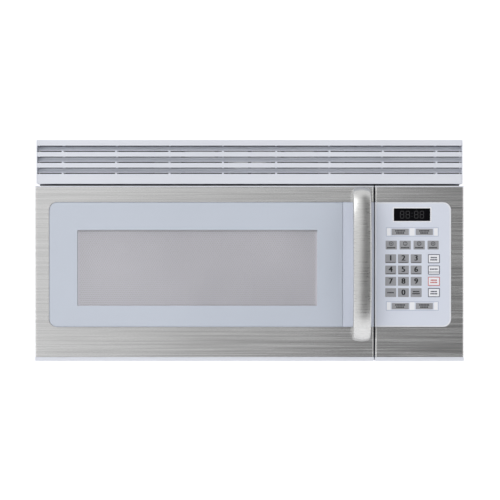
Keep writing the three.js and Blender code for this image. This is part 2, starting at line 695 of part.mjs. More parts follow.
// The cooktop lamp lies in a pressed tray over its opening in the base.
const lampTray = { x0: lamp.x0 - 5, x1: lamp.x1 + 5, y0: lamp.y0 - 5, y1: lamp.y1 + 5, tall: 40 };
function lampHousing() {
  const t = lampTray;
  const lip = 6;
  const z0 = floorTop;
  const rim = block(t.x0 - lip + 2, t.x1 + lip, t.y0 - 2, t.y1 + lip, z0, z0 + 1);
  const tray = block(t.x0, t.x1, t.y0, t.y1, z0, z0 + t.tall);
  const inside = block(t.x0 + 1, t.x1 - 1, t.y0 + 1, t.y1 - 1, z0 - 1, z0 + t.tall - 1);
  const socketHole = rod(9, 'x', [0, (t.y0 + t.y1) / 2, z0 + 22], t.x1 - 2, t.x1 + 1, 12);
  return cut(join(rim, tray), inside, socketHole);
}
add(cabinet, 'lamp_housing', lampHousing(), galvanised());

function cooktopLamp() {
  const y = (lampTray.y0 + lampTray.y1) / 2;
  const z = floorTop + 22;
  const end = lampTray.x1;
  return turned([
    [0, end - 76], [9, end - 73], [13, end - 62], [13, end - 44], [8, end - 30], [8, end + fit],
    [11, end + fit], [11, end + 18], [0, end + 18]], 'x', [0, y, z], 16);
}
add(cabinet, 'cooktop_lamp', cooktopLamp(), paint(0xe8e4d6, 0.25));

// A ribbed lens closes the opening; it swings down on two studs at its rear edge.
const coverHinge = { y: lamp.y1 - 4, z: 2.2 };
function lampCover() {
  const y0 = lamp.y0 + 0.5;
  const gap = fit;
  const plate = block(lamp.x0 + gap, lamp.x1 - gap, y0, coverHinge.y, 0.4, 2.9);
  const knuckle = rod(1.8, 'x', [0, coverHinge.y, coverHinge.z], lamp.x0 + gap, lamp.x1 - gap, 12);
  const ribs = count(6).map((i) => {
    const y = y0 + 6 + i * 7.8;
    return block(lamp.x0 + 8, lamp.x1 - 8, y, y + 1.6, 2.5, 3.8);
  });
  const latchTab = block(-8, 8, y0, y0 + 1.5, 0.4, 6);
  return join(plate, knuckle, ribs, latchTab);
}
add(cabinet, 'lamp_cover', lampCover(), clearGlass());

// ---- Grease filters: a folded frame round a pad of mesh, with a pull tab at the front ----
function greaseFilter(side) {
  const o = filterBox(side);
  const [x0, x1, y0, y1] = [o.x0 + fit, o.x1 - fit, o.y0 + fit, o.y1 - fit];
  const rim = 9;
  const thick = 7;
  const z0 = 0.4;
  const middle = (x0 + x1) / 2;
  const rimRing = cut(
    block(x0, x1, y0, y1, z0, z0 + thick),
    block(x0 + rim, x1 - rim, y0 + rim, y1 - rim, z0 - 1, z0 + thick + 1));
  const pad = block(x0 + rim - 1, x1 - rim + 1, y0 + rim - 1, y1 - rim + 1, z0 + 1.5, z0 + 5.5);
  const tab = block(middle - 11, middle + 11, y0 + rim - 1, y0 + rim + 9, z0 + 0.3, z0 + 2);
  return join(rimRing, pad, tab);
}
add(cabinet, 'grease_filter_left', greaseFilter(-1), paint(0xb7babd, 0.4, 0.9));
add(cabinet, 'grease_filter_right', greaseFilter(1), paint(0xb7babd, 0.4, 0.9));

// ---- Turntable, drawn round its own axis with z = 0 on the cavity floor ----
// A synchronous motor under the floor drives the coupler, which turns the tray.
function turntableMotor() {
  const top = -cavityWall - fit;
  const can = rod(motorCan, 'z', [0, 0, 0], top - 18, top - 1.5, 28);
  const ears = block(-motorCan - 12, motorCan + 12, -8, 8, top - 1.5, top);
  const boss = rod(9, 'z', [0, 0, 0], top - 2, top, 16);
  return cut(
    join(can, ears, boss),
    rod(couplerShaft + runningGap, 'z', [0, 0, 0], top - 12, top + 1, 12));
}
add(turntableGroup, 'turntable_motor', turntableMotor(), galvanised());

const rollerTop = fit + 2 * rollerRadius;
const trayBottom = rollerTop + fit;

// A shaft with a three armed hub that sits between the tray's lugs.
function coupler() {
  const shaft = rod(couplerShaft, 'z', [0, 0, 0], -cavityWall - fit - 11, 4, 16);
  const hub = rod(couplerRadius - 7, 'z', [0, 0, 0], 3, trayBottom - fit, 18);
  const arms = count(3).map((i) => {
    const turn = new THREE.Matrix4().makeRotationZ((i * Math.PI * 2) / 3 - Math.PI / 2);
    const shape = outline([[-3, 0], [3, 0], [2.2, couplerRadius], [-2.2, couplerRadius]]);
    return pushed(shape, 'z', trayBottom - fit - 7, trayBottom - fit, 1, turn);
  });
  return join(shaft, hub, arms);
}
add(turntableGroup, 'turntable_coupler', coupler(), whitePlastic());

// A shallow dish with a turned up rim, and six lugs below that the coupler's arms push.
function glassTray() {
  const b = trayBottom;
  const t = trayThickness;
  const dish = turned([
    [0, b], [trayRadius - 14, b], [trayRadius - 5, b + 4], [trayRadius, b + trayRise],
    [trayRadius - 3.4, b + trayRise], [trayRadius - 8, b + t + 3], [trayRadius - 15, b + t], [0, b + t]],
  'z', [0, 0, 0], 32);
  const lugs = count(6).map((i) => {
    const angle = Math.PI / 6 + (i * Math.PI) / 3 + (i % 2 ? -0.15 : 0.15);
    return rod(2.4, 'z', [Math.cos(angle) * 11, Math.sin(angle) * 11, 0], b - 6, b + 1, 6);
  });
  return join(dish, lugs);
}
add(turntableGroup, 'glass_tray', glassTray(), clearGlass());

// Three wheels on the ring's axles roll on the floor and carry the tray.
const rollerZ = fit + rollerRadius;
const rollerInner = rollerTrack - rollerWidth / 2;
const rollerAngles = count(3).map((i) => Math.PI / 2 + (i * Math.PI * 2) / 3);
function rollerRing() {
  const outer = rollerInner - 1;
  const ring = tube(
    outer, outer - ringWidth, 'z', [0, 0, 0], rollerZ - ringHeight / 2, rollerZ + ringHeight / 2, 24);
  const axles = rollerAngles.map((angle) => {
    const turn = new THREE.Matrix4().makeRotationZ(angle);
    const geometry = new THREE.CylinderGeometry(rollerAxle, rollerAxle, rollerWidth + 5, 8);
    geometry.rotateZ(-Math.PI / 2);
    geometry.translate(outer - 1 + (rollerWidth + 5) / 2, 0, rollerZ);
    geometry.applyMatrix4(turn);
    return solidOf(geometry);
  });
  return join(ring, axles);
}
add(turntableGroup, 'roller_ring', rollerRing(), whitePlastic());

function roller() {
  const halfWide = rollerWidth / 2;
  const bore = rollerAxle + runningGap;
  return turned([
    [bore, -halfWide], [rollerRadius - 1.5, -halfWide], [rollerRadius, -halfWide + 1.5],
    [rollerRadius, halfWide - 1.5],
    [rollerRadius - 1.5, halfWide], [bore, halfWide], [bore, -halfWide]], 'x', [0, 0, 0], 12);
}
rollerAngles.forEach((angle, i) => {
  const wheel = add(turntableGroup, `roller_${i + 1}`, roller(), whitePlastic());
  wheel.rotation.z = angle;
  wheel.position.set(Math.cos(angle) * rollerTrack, Math.sin(angle) * rollerTrack, rollerZ);
});

// ---- Vent grille: three stepped louvres over a plain band, with ribs in the slits ----
const grilleFront = flangeFront - fit - grilleDepth;
const grilleHalf = half - grilleInset;
const louvreTop = grilleTop - louvreSlit;
function ventGrille() {
  const f = grilleFront;
  const back = flangeFront - fit;
  const t = louvreWall;
  const louvre = (i) => {
    const top = louvreTop - i * louvrePitch;
    const shelf = top - louvreNose;
    const foot = top - louvrePitch + louvreSlit;
    return pushed(outline([
      [f, top], [f, shelf], [f + 9, shelf + 0.6], [f + 4.5, foot], [f + 4.5 + t, foot],
      [f + 9 + t, shelf + t], [f + t, shelf + t], [f + t, top]]), 'x', -grilleHalf, grilleHalf);
  };
  const bandTop = louvreTop - 3 * louvrePitch;
  const band = pushed(outline([
    [f, bandTop], [f, grilleBottom], [back, grilleBottom], [back, grilleBottom + t],
    [f + t, grilleBottom + t], [f + t, bandTop]]), 'x', -grilleHalf, grilleHalf);
  const roof = pushed(outline([
    [f, grilleTop], [f, louvreTop - 1], [f + t, louvreTop - 1], [f + t, grilleTop - t],
    [back, grilleTop - t], [back, grilleTop]]), 'x', -grilleHalf, grilleHalf);
  const caps = [-1, 1].map((side) => {
    const x = side * (grilleHalf - t / 2 - 0.4);
    return block(x - t / 2, x + t / 2, f + 0.6, back - 1, grilleBottom + 0.5, grilleTop - 0.5);
  });
  const ribs = count(louvreRibs).map((i) => {
    const x = THREE.MathUtils.lerp(louvreRibMargin - half, half - louvreRibMargin, i / (louvreRibs - 1));
    return block(x - 1.6, x + 1.6, f + 3, f + 18, grilleBottom + t - 0.5, grilleTop - t + 0.5);
  });
  return join(count(3).map(louvre), band, roof, caps, ribs);
}
add(cabinet, 'vent_grille', ventGrille(), whitePlastic());

// A charcoal filter sits in the flange behind the grille.
function charcoalFilter() {
  const w = grown(filterWindow, -1);
  const y0 = flangeFront - 8;
  const y1 = flangeFront + 10;
  const rim = 8;
  const flange = frameAlongY(grown(w, 5), grown(w, -rim), flangeFront - fit - 1.2, flangeFront - fit);
  const box = frameAlongY(w, grown(w, -rim), y0, y1);
  const slats = count(5).map((i) => {
    const x = w.x0 + ((i + 1) * (w.x1 - w.x0)) / 6;
    return block(x - 3, x + 3, y0 + 3, y1 - 3, w.z0 + rim - 1, w.z1 - rim + 1);
  });
  return join(flange, box, slats);
}
add(cabinet, 'charcoal_filter', charcoalFilter(), blackPlastic());

// ---- Plastic shells and steel skins, shared by the door and the control panel ----
const skinZ = { z0: bottomLip + fit, z1: doorTop - topLip - fit };
const skinInset = skinThickness + fit;

// Plan of the space that the steel skin takes off a plastic shell.
function skinRoom(x0, x1, back) {
  const y1 = doorFront + skinWrap + fit;
  const r = edgeRadius - skinInset;
  const around = block(x0 - 1, x1 + 1, doorFront - 1, y1, skinZ.z0 - fit, skinZ.z1 + fit);
  const plan = roundRect(x0 + skinInset, x1 - skinInset, frameFront, back + 1, [r, r, 0, 0]);
  const core = pushed(plan, 'z', skinZ.z0 - fit, skinZ.z1 + fit, 3);
  return cut(around, core);
}

// A steel skin folded back round both upright edges.
function steelSkin(x0, x1) {
  const t = skinThickness;
  const r = edgeRadius;
  const y1 = doorFront + skinWrap;
  const outer = roundRect(x0, x1, doorFront, y1, [r, r, 0, 0]);
  const inner = roundRect(x0 + t, x1 - t, doorFront + t, y1 + 1, [r - t, r - t, 0, 0]);
  return cut(
    pushed(outer, 'z', skinZ.z0, skinZ.z1, 3),
    pushed(inner, 'z', skinZ.z0 - 1, skinZ.z1 + 1, 3));
}

const insetY = { front: doorFront - insetProud, back: frameFront + insetSeat - fit };
const stripLeft = doorRight - stripWidth;
// The pale inset runs on across the door and the control panel, with round outer corners.
const doorInset = (grow) => roundRect(
  insetLeft - grow, doorRight + (grow > 0 ? 5 : 0), insetBottom - grow, insetTop + grow,
  [insetCorner + grow, 0, 0, insetCorner + grow]);
const controlInset = (grow) => roundRect(
  controlLeft - (grow > 0 ? 5 : 0), insetRight + grow, insetBottom - grow, insetTop + grow,
  [0, insetCorner + grow, insetCorner + grow, 0]);

// ---- Door ----
// Plan of the door: the back corner by the hinge is round about the hinge axis, so it clears the flange.
function doorPlan() {
  const radius = doorBack - hinge.y;
  const reach = hinge.x - doorLeft;
  const shape = new THREE.Shape();
  shape.moveTo(doorLeft, doorFront);
  shape.lineTo(doorRight, doorFront);
  shape.lineTo(doorRight, doorBack);
  shape.lineTo(hinge.x, doorBack);
  shape.absarc(hinge.x, hinge.y, radius, Math.PI / 2, Math.PI - Math.acos(reach / radius), false);
  shape.lineTo(doorLeft, doorFront);
  return shape;
}

const latchRib = chokeRight + 1.5;
const bush = { outer: hingePin + runningGap + bushWall, inner: hingePin + runningGap };
const hingeEnds = [
  { name: 'bottom', face: 0, up: 1 },
  { name: 'top', face: doorTop, up: -1 },
];
const span = (a, b) => [Math.min(a, b), Math.max(a, b)];

function doorFrame() {
  const full = pushed(doorPlan(), 'z', 0, doorTop, 5);
  const hollow = cut(
    block(
      doorLeft + frameWall, doorRight - frameWall, frameFaceBack, doorBack + 1,
      frameWall, doorTop - frameWall),
    hingeEnds.map(({ face, up }) =>
      block(doorLeft, hinge.x + 14, frameFaceBack, doorBack + 1, ...span(face, face + up * hingeBlock))),
    block(latchRib, latchRib + 2, frameFaceBack - 1, chokeMouth - fit, 0, doorTop));
  const seat = pushed(doorInset(fit), 'y', doorFront - 1, frameFront + insetSeat, 4);
  const w = grown(glazing, screenLap + fit);
  const opening = block(w.x0, w.x1, doorFront, frameFaceBack + 1, w.z0, w.z1);
  const notches = hingeEnds.map(({ face, up }) =>
    block(doorLeft - 1, hinge.x + 14, hinge.y - 9, doorBack + 1, ...span(face - up, face + up * hingeNotch)));
  const boreDepth = hingeNotch + hingePinLength + 0.5;
  const bores = hingeEnds.map(({ face, up }) =>
    rod(bush.outer + fit, 'z', [hinge.x, hinge.y, 0], ...span(face, face + up * boreDepth), 14));
  const guides = [latchHooks[0] + 40, latchHooks[1] - 40].flatMap((z) => {
    const room = latchThickness / 2 + fit;
    return [
      block(latchRib, latchX - room, frameFaceBack - 1, frameFaceBack + 10, z - 8, z + 8),
      block(latchX + room, doorRight - 1, frameFaceBack - 1, frameFaceBack + 10, z - 8, z + 8)];
  });
  const shelf = block(
    latchRib, doorRight - 1, frameFaceBack - 1, chokeMouth - fit, springShelf, springShelf + 2);
  const room = skinRoom(doorLeft, doorRight, doorBack);
  return join(cut(full, room, hollow, seat, opening, notches, bores), guides, shelf);
}

const latchEnds = { z0: latchHooks[0] - 22, z1: latchHooks[1] + 20 };
const springShelf = latchEnds.z1 + springLength + 2 * fit;
add(door, 'door_frame', doorFrame(), whitePlastic());
add(door, 'door_skin', cut(
  steelSkin(doorLeft, doorRight),
  pushed(doorInset(2 * fit), 'y', doorFront - 1, frameFront + 20, 4),
), brushedSteel());
const windowPlate = pushed(doorInset(0), 'y', doorFront + windowRecess, insetY.back, 4);
const stripRoom = block(stripLeft - stripGap, doorRight + 1, doorFront - 1, insetY.back + 1, 0, doorTop);
add(door, 'window_panel', cut(windowPlate, stripRoom), insetWhite());
add(door, 'handle_strip', block(
  stripLeft, doorRight, insetY.front, insetY.back, insetBottom, insetTop,
), insetWhite());

// The window's screen: a steel sheet with rows of holes, every other row moved half a pitch.
function doorScreen() {
  const w = grown(glazing, screenLap);
  const y1 = frameFaceBack;
  const y0 = y1 - screenThickness;
  const shape = roundRect(w.x0, w.x1, w.z0, w.z1, 2);
  const pitchX = (glazing.x1 - glazing.x0) / screenColumns;
  const pitchZ = (glazing.z1 - glazing.z0) / screenRows;
  for (const row of count(screenRows)) {
    const shift = row % 2 ? 0.5 : 0.25;
    for (const column of count(screenColumns)) {
      const x = glazing.x0 + (column + shift + 0.12) * pitchX;
      const z = glazing.z0 + (row + 0.5) * pitchZ;
      const r = screenHole / 2;
      shape.holes.push(new THREE.Path([[x - r, z], [x, z + r], [x + r, z], [x, z - r]].map(
        ([a, b]) => new THREE.Vector2(a, b))));
    }
  }
  return pushed(shape, 'y', y0, y1, 2);
}
add(door, 'door_screen', doorScreen(), paint(0xaeb2b8, 0.5, 0.4));

// Pressed steel pan: a web with the window, and two walls that make the choke's channel.
const choke = { x0: chokeLeft, x1: chokeRight, z0: chokeBottom, z1: chokeTop };
const chokeInner = {
  x0: cavityLeft + 3,
  x1: chokeRight - chokeChannel + 3,
  z0: cavityFloor + 3,
  z1: cavityTop - 8,
};
function chokePan() {
  const y0 = frameFaceBack + fit;
  const t = chokeWall;
  const web = block(choke.x0, choke.x1, y0, y0 + t, choke.z0, choke.z1);
  const outerWall = frameAlongY(choke, grown(choke, -t), y0, chokeMouth);
  const innerWall = frameAlongY(grown(chokeInner, t), chokeInner, y0, chokeMouth);
  const w = grown(glazing, 1.5);
  return cut(join(web, outerWall, innerWall), block(w.x0, w.x1, y0 - 1, y0 + t + 1, w.z0, w.z1));
}
add(door, 'choke_pan', chokePan(), paint(0xc6c9cd, 0.4, 0.8));

// A plastic cover closes the choke's channel and the latch's channel, with slots for the hooks.
const coverY = { y0: chokeMouth + fit, y1: doorBack - 0.4 };
function chokeCover() {
  const outer = { ...choke, x1: doorRight - frameWall - fit };
  const ring = frameAlongY(outer, grown(chokeInner, -2), coverY.y0, coverY.y1);
  const slots = latchHooks.map((z) => block(
    latchX - hookSlot.wide / 2, latchX + hookSlot.wide / 2, coverY.y0 - 1, coverY.y1 + 1,
    z - hookSlot.below, z + hookSlot.above));
  return cut(ring, slots);
}
add(door, 'choke_cover', chokeCover(), paint(0xdfe1e6, 0.4));
const glassBox = grown(chokeInner, -fit);
const glassBack = coverY.y0 - fit;
add(door, 'inner_glass', block(
  glassBox.x0, glassBox.x1, glassBack - glassThickness, glassBack, glassBox.z0, glassBox.z1,
), clearGlass());

// Bushes in the door turn on the pins of two brackets that are fixed to the flange.
for (const { name, face, up } of hingeEnds) {
  const from = face + up * (hingeNotch + fit);
  const to = face + up * (hingeNotch + hingePinLength);
  add(door, `hinge_bush_${name}`, tube(
    bush.outer, bush.inner, 'z', [hinge.x, hinge.y, 0], ...span(from, to), 14), greyPlastic());
  add(cabinet, `hinge_bracket_${name}`, hingeBracket(face, up), galvanised());
}

function hingeBracket(face, up) {
  const near = face + up * hingeFaceGap;
  const far = near + up * hingeArm;
  const wallY = flangeFront - fit;
  const plan = new THREE.Shape();
  plan.moveTo(hinge.x + hingeArmRight, wallY);
  plan.lineTo(hinge.x - hingeArmLeft, wallY);
  plan.lineTo(hinge.x - hingeArmLeft, hinge.y + 5);
  plan.absarc(hinge.x, hinge.y, 5.5, Math.PI * 0.66, Math.PI * 2, false);
  plan.lineTo(hinge.x + hingeArmRight, hinge.y + 5);
  plan.lineTo(hinge.x + hingeArmRight, wallY);
  const arm = pushed(plan, 'z', ...span(near, far), 8);
  const leg = block(
    hinge.x - hingeArmLeft, hinge.x + hingeArmRight, wallY - 1.2, wallY, ...span(near, near + up * 15));
  const pinEnd = far + up * (hingeNotch - hingeFaceGap - hingeArm + hingePinLength - 0.5);
  const pin = rod(hingePin, 'z', [hinge.x, hinge.y, 0], ...span(near, pinEnd), 14);
  return join(arm, leg, pin);
}

// ---- Handle: a bowed strap that stands off the door on two feet ----
function doorHandle() {
  const x1 = doorRight - handleEdge;
  const x0 = x1 - handleWidth;
  const face = doorFront - fit;
  const out = face - handleReach;
  const inside = out + handleThickness;
  const [z0, z1] = [handleBottom, doorTop - handleTopDrop];
  const middle = (z0 + z1) / 2;
  const bevel = 2;
  const shape = new THREE.Shape();
  shape.moveTo(face, z0 + bevel);
  shape.bezierCurveTo(face - 20, z0 + bevel, out + bevel, z0 + 24, out + bevel, middle);
  shape.bezierCurveTo(out + bevel, z1 - 24, face - 20, z1 - bevel, face, z1 - bevel);
  shape.lineTo(face, z1 - handleFoot + bevel);
  shape.bezierCurveTo(face - 12, z1 - handleFoot, inside - bevel, z1 - 46, inside - bevel, middle);
  shape.bezierCurveTo(inside - bevel, z0 + 46, face - 12, z0 + handleFoot, face, z0 + handleFoot - bevel);
  shape.lineTo(face, z0 + bevel);
  const geometry = new THREE.ExtrudeGeometry(shape, {
    depth: handleWidth - 2 * bevel, bevelEnabled: true, bevelSize: bevel, bevelThickness: bevel,
    bevelSegments: 2, curveSegments: 7,
  });
  geometry.translate(0, 0, x0 + bevel);
  geometry.applyMatrix4(toAxis.x);
  const behind = block(x0 - 1, x1 + 1, face, face + 20, z0 - 5, z1 + 5);
  return cut(solidOf(geometry), behind);
}
add(door, 'door_handle', doorHandle(), brushedSteel());

// ---- Latch: a sprung plate with two hooks, in its channel in the door ----
const latchY = { y0: frameFaceBack + fit, y1: chokeMouth - 2 };
function latchBar() {
  const [x0, x1] = [latchX - latchThickness / 2, latchX + latchThickness / 2];
  const tip = doorBack + latchHookReach;
  const plate = block(x0, x1, latchY.y0, latchY.y1 - 8, latchEnds.z0, latchEnds.z1);
  const windows = [0.36, 0.64].map((part) => {
    const z = THREE.MathUtils.lerp(latchHooks[0], latchHooks[1], part);
    return block(x0 - 1, x1 + 1, latchY.y0 + 6, latchY.y1 - 14, z - 18, z + 18);
  });
  const hooks = latchHooks.map((z) => pushed(outline([
    [latchY.y1 - 9, z - 6], [latchY.y1 - 2, z - 4], [tip - 7, z - 4], [tip - 7, z - 8], [tip - 4, z - 8],
    [tip, z - 2], [tip, z + 4], [latchY.y1 - 2, z + 4], [latchY.y1 - 9, z + 8]]), 'x', x0, x1));
  return join(cut(plate, windows), hooks);
}
add(door, 'latch_bar', latchBar(), greyPlastic());

class Helix extends THREE.Curve {
  constructor(radius, length, turns) {
    super();
    Object.assign(this, { radius, length, turns });
  }

  getPoint(t) {
    const angle = t * this.turns * Math.PI * 2;
    return new THREE.Vector3(Math.cos(angle) * this.radius, Math.sin(angle) * this.radius, t * this.length);
  }
}

function latchSpring() {
  const section = new THREE.Shape();
  section.absarc(0, 0, springWire / 2, 0, Math.PI * 2, false);
  const path = new Helix(springRadius - springWire / 2, springLength - springWire, springTurns);
  const geometry = new THREE.ExtrudeGeometry(section, {
    steps: springTurns * 8, extrudePath: path, curveSegments: 2, bevelEnabled: false,
  });
  geometry.translate(latchX, latchY.y0 + 8, latchEnds.z1 + fit + springWire / 2);
  return solidOf(geometry);
}
add(door, 'latch_spring', latchSpring(), galvanised());

// ---- Control panel ----
const controlBack = flangeFront - fit;
const displayBox = {
  x0: controlLeft + display.fromLeft,
  x1: controlLeft + display.fromLeft + display.wide,
  z0: insetTop - display.drop - display.tall,
  z1: insetTop - display.drop,
};
function controlHousing() {
  const [x0, x1] = [controlLeft, half];
  const full = block(x0, x1, doorFront, controlBack, 0, doorTop);
  const hollow = block(
    x0 + frameWall, x1 - frameWall, frameFaceBack, controlBack + 1, frameWall, doorTop - frameWall);
  const seat = pushed(controlInset(fit), 'y', doorFront - 1, frameFront + insetSeat, 4);
  const d = grown(displayBox, -2);
  const opening = block(d.x0, d.x1, doorFront, frameFaceBack + 1, d.z0, d.z1);
  const posts = [x0 + 14, x1 - 14].flatMap((x) => [40, doorTop - 24].map((z) =>
    rod(4, 'y', [x, 0, z], frameFaceBack - 1, boardFront - fit, 6)));
  return join(cut(full, hollow, skinRoom(x0, x1, controlBack), seat, opening), posts);
}
const boardFront = frameFaceBack + 12;
add(cabinet, 'control_housing', controlHousing(), whitePlastic());
add(cabinet, 'control_skin', cut(
  steelSkin(controlLeft, half),
  pushed(controlInset(2 * fit), 'y', doorFront - 1, frameFront + 20, 4),
), brushedSteel());

function keypadOverlay() {
  const w = grown(displayBox, fit);
  return cut(
    pushed(controlInset(0), 'y', insetY.front, insetY.back, 4),
    block(w.x0, w.x1, insetY.front - 1, insetY.back + 1, w.z0, w.z1));
}
add(cabinet, 'keypad_overlay', keypadOverlay(), insetWhite());
add(cabinet, 'display_lens', block(
  displayBox.x0, displayBox.x1, insetY.front + 0.5, insetY.back, displayBox.z0, displayBox.z1,
), paint(0x0b0d10, 0.1));

// The circuit board stands on the housing's posts, with the display, a buzzer, relays and a transformer.
function controlBoard() {
  const [x0, x1] = [controlLeft + 8, half - 8];
  const [z0, z1] = [34, doorTop - 18];
  const y1 = boardFront + 1.6;
  const board = block(x0, x1, boardFront, y1, z0, z1);
  const d = grown(displayBox, -3);
  const displayBlock = block(d.x0, d.x1, frameFront + insetSeat + 1, boardFront + 1, d.z0, d.z1);
  const relays = count(3).map((i) =>
    block(x0 + 12 + i * 24, x0 + 31 + i * 24, y1 - 1, y1 + 15, z0 + 14, z0 + 30));
  const supply = block(x1 - 46, x1 - 12, y1 - 1, y1 + 16, z0 + 52, z0 + 92);
  const buzzer = rod(6, 'y', [x0 + 20, 0, z0 + 74], y1 - 1, y1 + 8, 12);
  const connector = block(x0 + 30, x0 + 80, y1 - 1, y1 + 9, z1 - 60, z1 - 52);
  return join(board, displayBlock, relays, supply, buzzer, connector);
}
add(cabinet, 'control_board', controlBoard(), paint(0x2f5d3a, 0.6));

// ---- Latch bracket and its three switches, behind the flange ----
const latchRoom = { y0: flangeBack + fit, y1: flangeBack + fit + 42 };
function latchBracket() {
  const [z0, z1] = [latchHooks[0] - 24, latchHooks[1] + 24];
  const side = latchX + hookSlot.wide / 2 + 1;
  const wall = block(side, side + 2.5, latchRoom.y0, latchRoom.y1, z0, z1);
  const foot = block(side, side + 16, latchRoom.y0, latchRoom.y0 + 2.5, z0, z1);
  const catches = latchHooks.map((z) => block(
    latchX - 3, side + 1, latchRoom.y0 + 2, latchRoom.y0 + 7,
    z - hookSlot.below - 4, z - hookSlot.below - 0.5));
  const middle = (z0 + z1) / 2;
  const opening = block(
    side - 1, side + 4, latchRoom.y0 + 10, latchRoom.y1 - 8, middle - 20, middle + 20);
  return join(cut(wall, opening), foot, catches);
}
add(cabinet, 'latch_bracket', latchBracket(), greyPlastic());

const switchSize = { wide: 10, deep: 20, tall: 28 };
const switchPlaces = [
  ['primary_switch', latchHooks[1]],
  ['secondary_switch', latchHooks[0]],
  ['monitor_switch', latchHooks[0] + 46],
];
for (const [name, z] of switchPlaces) {
  const x0 = latchX + hookSlot.wide / 2 + 1 + 2.5 + fit;
  const [y0, y1] = [latchRoom.y0 + 14, latchRoom.y0 + 14 + switchSize.deep];
  const body = block(x0, x0 + switchSize.wide, y0, y1, z - switchSize.tall / 2, z + switchSize.tall / 2);
  const plunger = block(x0 + 3, x0 + 7, y0 - 3, y0 + 1, z + 4, z + 8);
  const tabs = [-8, 0, 8].map((dz) => block(x0 + 4.6, x0 + 5.4, y1 - 1, y1 + 8, z + dz - 2.4, z + dz + 2.4));
  add(cabinet, name, join(body, plunger, tabs), blackPlastic());
}

// The origin is the middle of the back face.
oven.position.z = -height / 2;
export default oven;
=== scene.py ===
"""Over the range microwave oven: the finished look of every piece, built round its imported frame."""
import json
import math

import bmesh
import bpy
from bpy.props import FloatProperty, FloatVectorProperty, IntProperty, PointerProperty
from mathutils import Matrix, Vector


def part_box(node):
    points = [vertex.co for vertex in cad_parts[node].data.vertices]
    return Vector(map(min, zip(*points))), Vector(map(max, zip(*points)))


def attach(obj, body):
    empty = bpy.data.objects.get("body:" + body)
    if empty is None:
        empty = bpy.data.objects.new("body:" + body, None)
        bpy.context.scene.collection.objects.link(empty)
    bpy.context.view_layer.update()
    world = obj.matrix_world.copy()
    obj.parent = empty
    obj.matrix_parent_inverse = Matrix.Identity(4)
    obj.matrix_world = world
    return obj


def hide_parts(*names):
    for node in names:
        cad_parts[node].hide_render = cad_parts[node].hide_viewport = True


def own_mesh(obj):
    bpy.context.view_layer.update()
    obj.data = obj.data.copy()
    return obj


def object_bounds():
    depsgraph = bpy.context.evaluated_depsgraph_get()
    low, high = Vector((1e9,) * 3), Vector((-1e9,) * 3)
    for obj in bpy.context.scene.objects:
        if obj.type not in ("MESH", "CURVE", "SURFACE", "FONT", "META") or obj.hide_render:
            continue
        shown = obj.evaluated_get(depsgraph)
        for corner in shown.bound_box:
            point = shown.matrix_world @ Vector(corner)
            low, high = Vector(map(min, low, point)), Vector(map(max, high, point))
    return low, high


bl_info = {
    "name": "Over the Range Oven",
    "version": (1, 0, 0),
    "blender": (4, 5, 0),
    "location": "View3D > Sidebar > Oven",
    "description": "Builds the looks of a wall-hung oven round its frame",
    "category": "Object",
}

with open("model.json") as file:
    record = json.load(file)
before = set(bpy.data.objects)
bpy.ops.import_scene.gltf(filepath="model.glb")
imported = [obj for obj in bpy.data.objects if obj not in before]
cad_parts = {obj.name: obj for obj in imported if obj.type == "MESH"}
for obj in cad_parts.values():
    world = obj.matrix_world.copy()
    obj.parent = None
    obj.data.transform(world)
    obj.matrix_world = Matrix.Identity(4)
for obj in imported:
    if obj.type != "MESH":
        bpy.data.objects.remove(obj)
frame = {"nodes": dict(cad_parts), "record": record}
NODES = frame["nodes"]
CAD_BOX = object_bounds()
MM = 0.001
BODY_OF = {node: body for body, group in frame["record"]["behaviour"]["bodies"].items() for node in group}
SLOT_OF = {row["node"]: row["material_slot"] for row in frame["record"]["subparts"]}


# ---- Node trees ----
class Graph:
    """Lays nodes in a tree. An input is given a value, or another node or its output."""

    def __init__(self, tree):
        self.tree = tree

    @staticmethod
    def pick(sockets, key):
        if isinstance(key, int):
            return sockets[key]
        return next(s for s in sockets if s.name == key and not s.is_unavailable)

    def add(self, kind, inputs=None, **settings):
        node = self.tree.nodes.new(kind)
        for key, value in settings.items():
            setattr(node, key, value)
        for key, value in (inputs or {}).items():
            self.feed(self.pick(node.inputs, key), value)
        return node

    def feed(self, socket, value):
        if isinstance(value, bpy.types.Node):
            value = next(out for out in value.outputs if not out.is_unavailable)
        if isinstance(value, bpy.types.NodeSocket):
            self.tree.links.new(value, socket)
        else:
            socket.default_value = value

    def maths(self, operation, *values):
        return self.add("ShaderNodeMath", dict(enumerate(values)), operation=operation)

    def ranged(self, value, low, high, to_low, to_high):
        return self.add("ShaderNodeMapRange", {
            "Value": value, "From Min": low, "From Max": high, "To Min": to_low, "To Max": to_high})


# ---- Finishes ----
def srgb(*levels):
    """A linear colour from levels of 0 to 255."""
    return tuple(((v / 255 + 0.055) / 1.055) ** 2.4 if v > 10 else v / 3295 for v in levels)


def rgba(color, by=1.0):
    """A colour for a socket, made lighter or darker."""
    return (*(min(1.0, part * by) for part in color[:3]), 1.0)


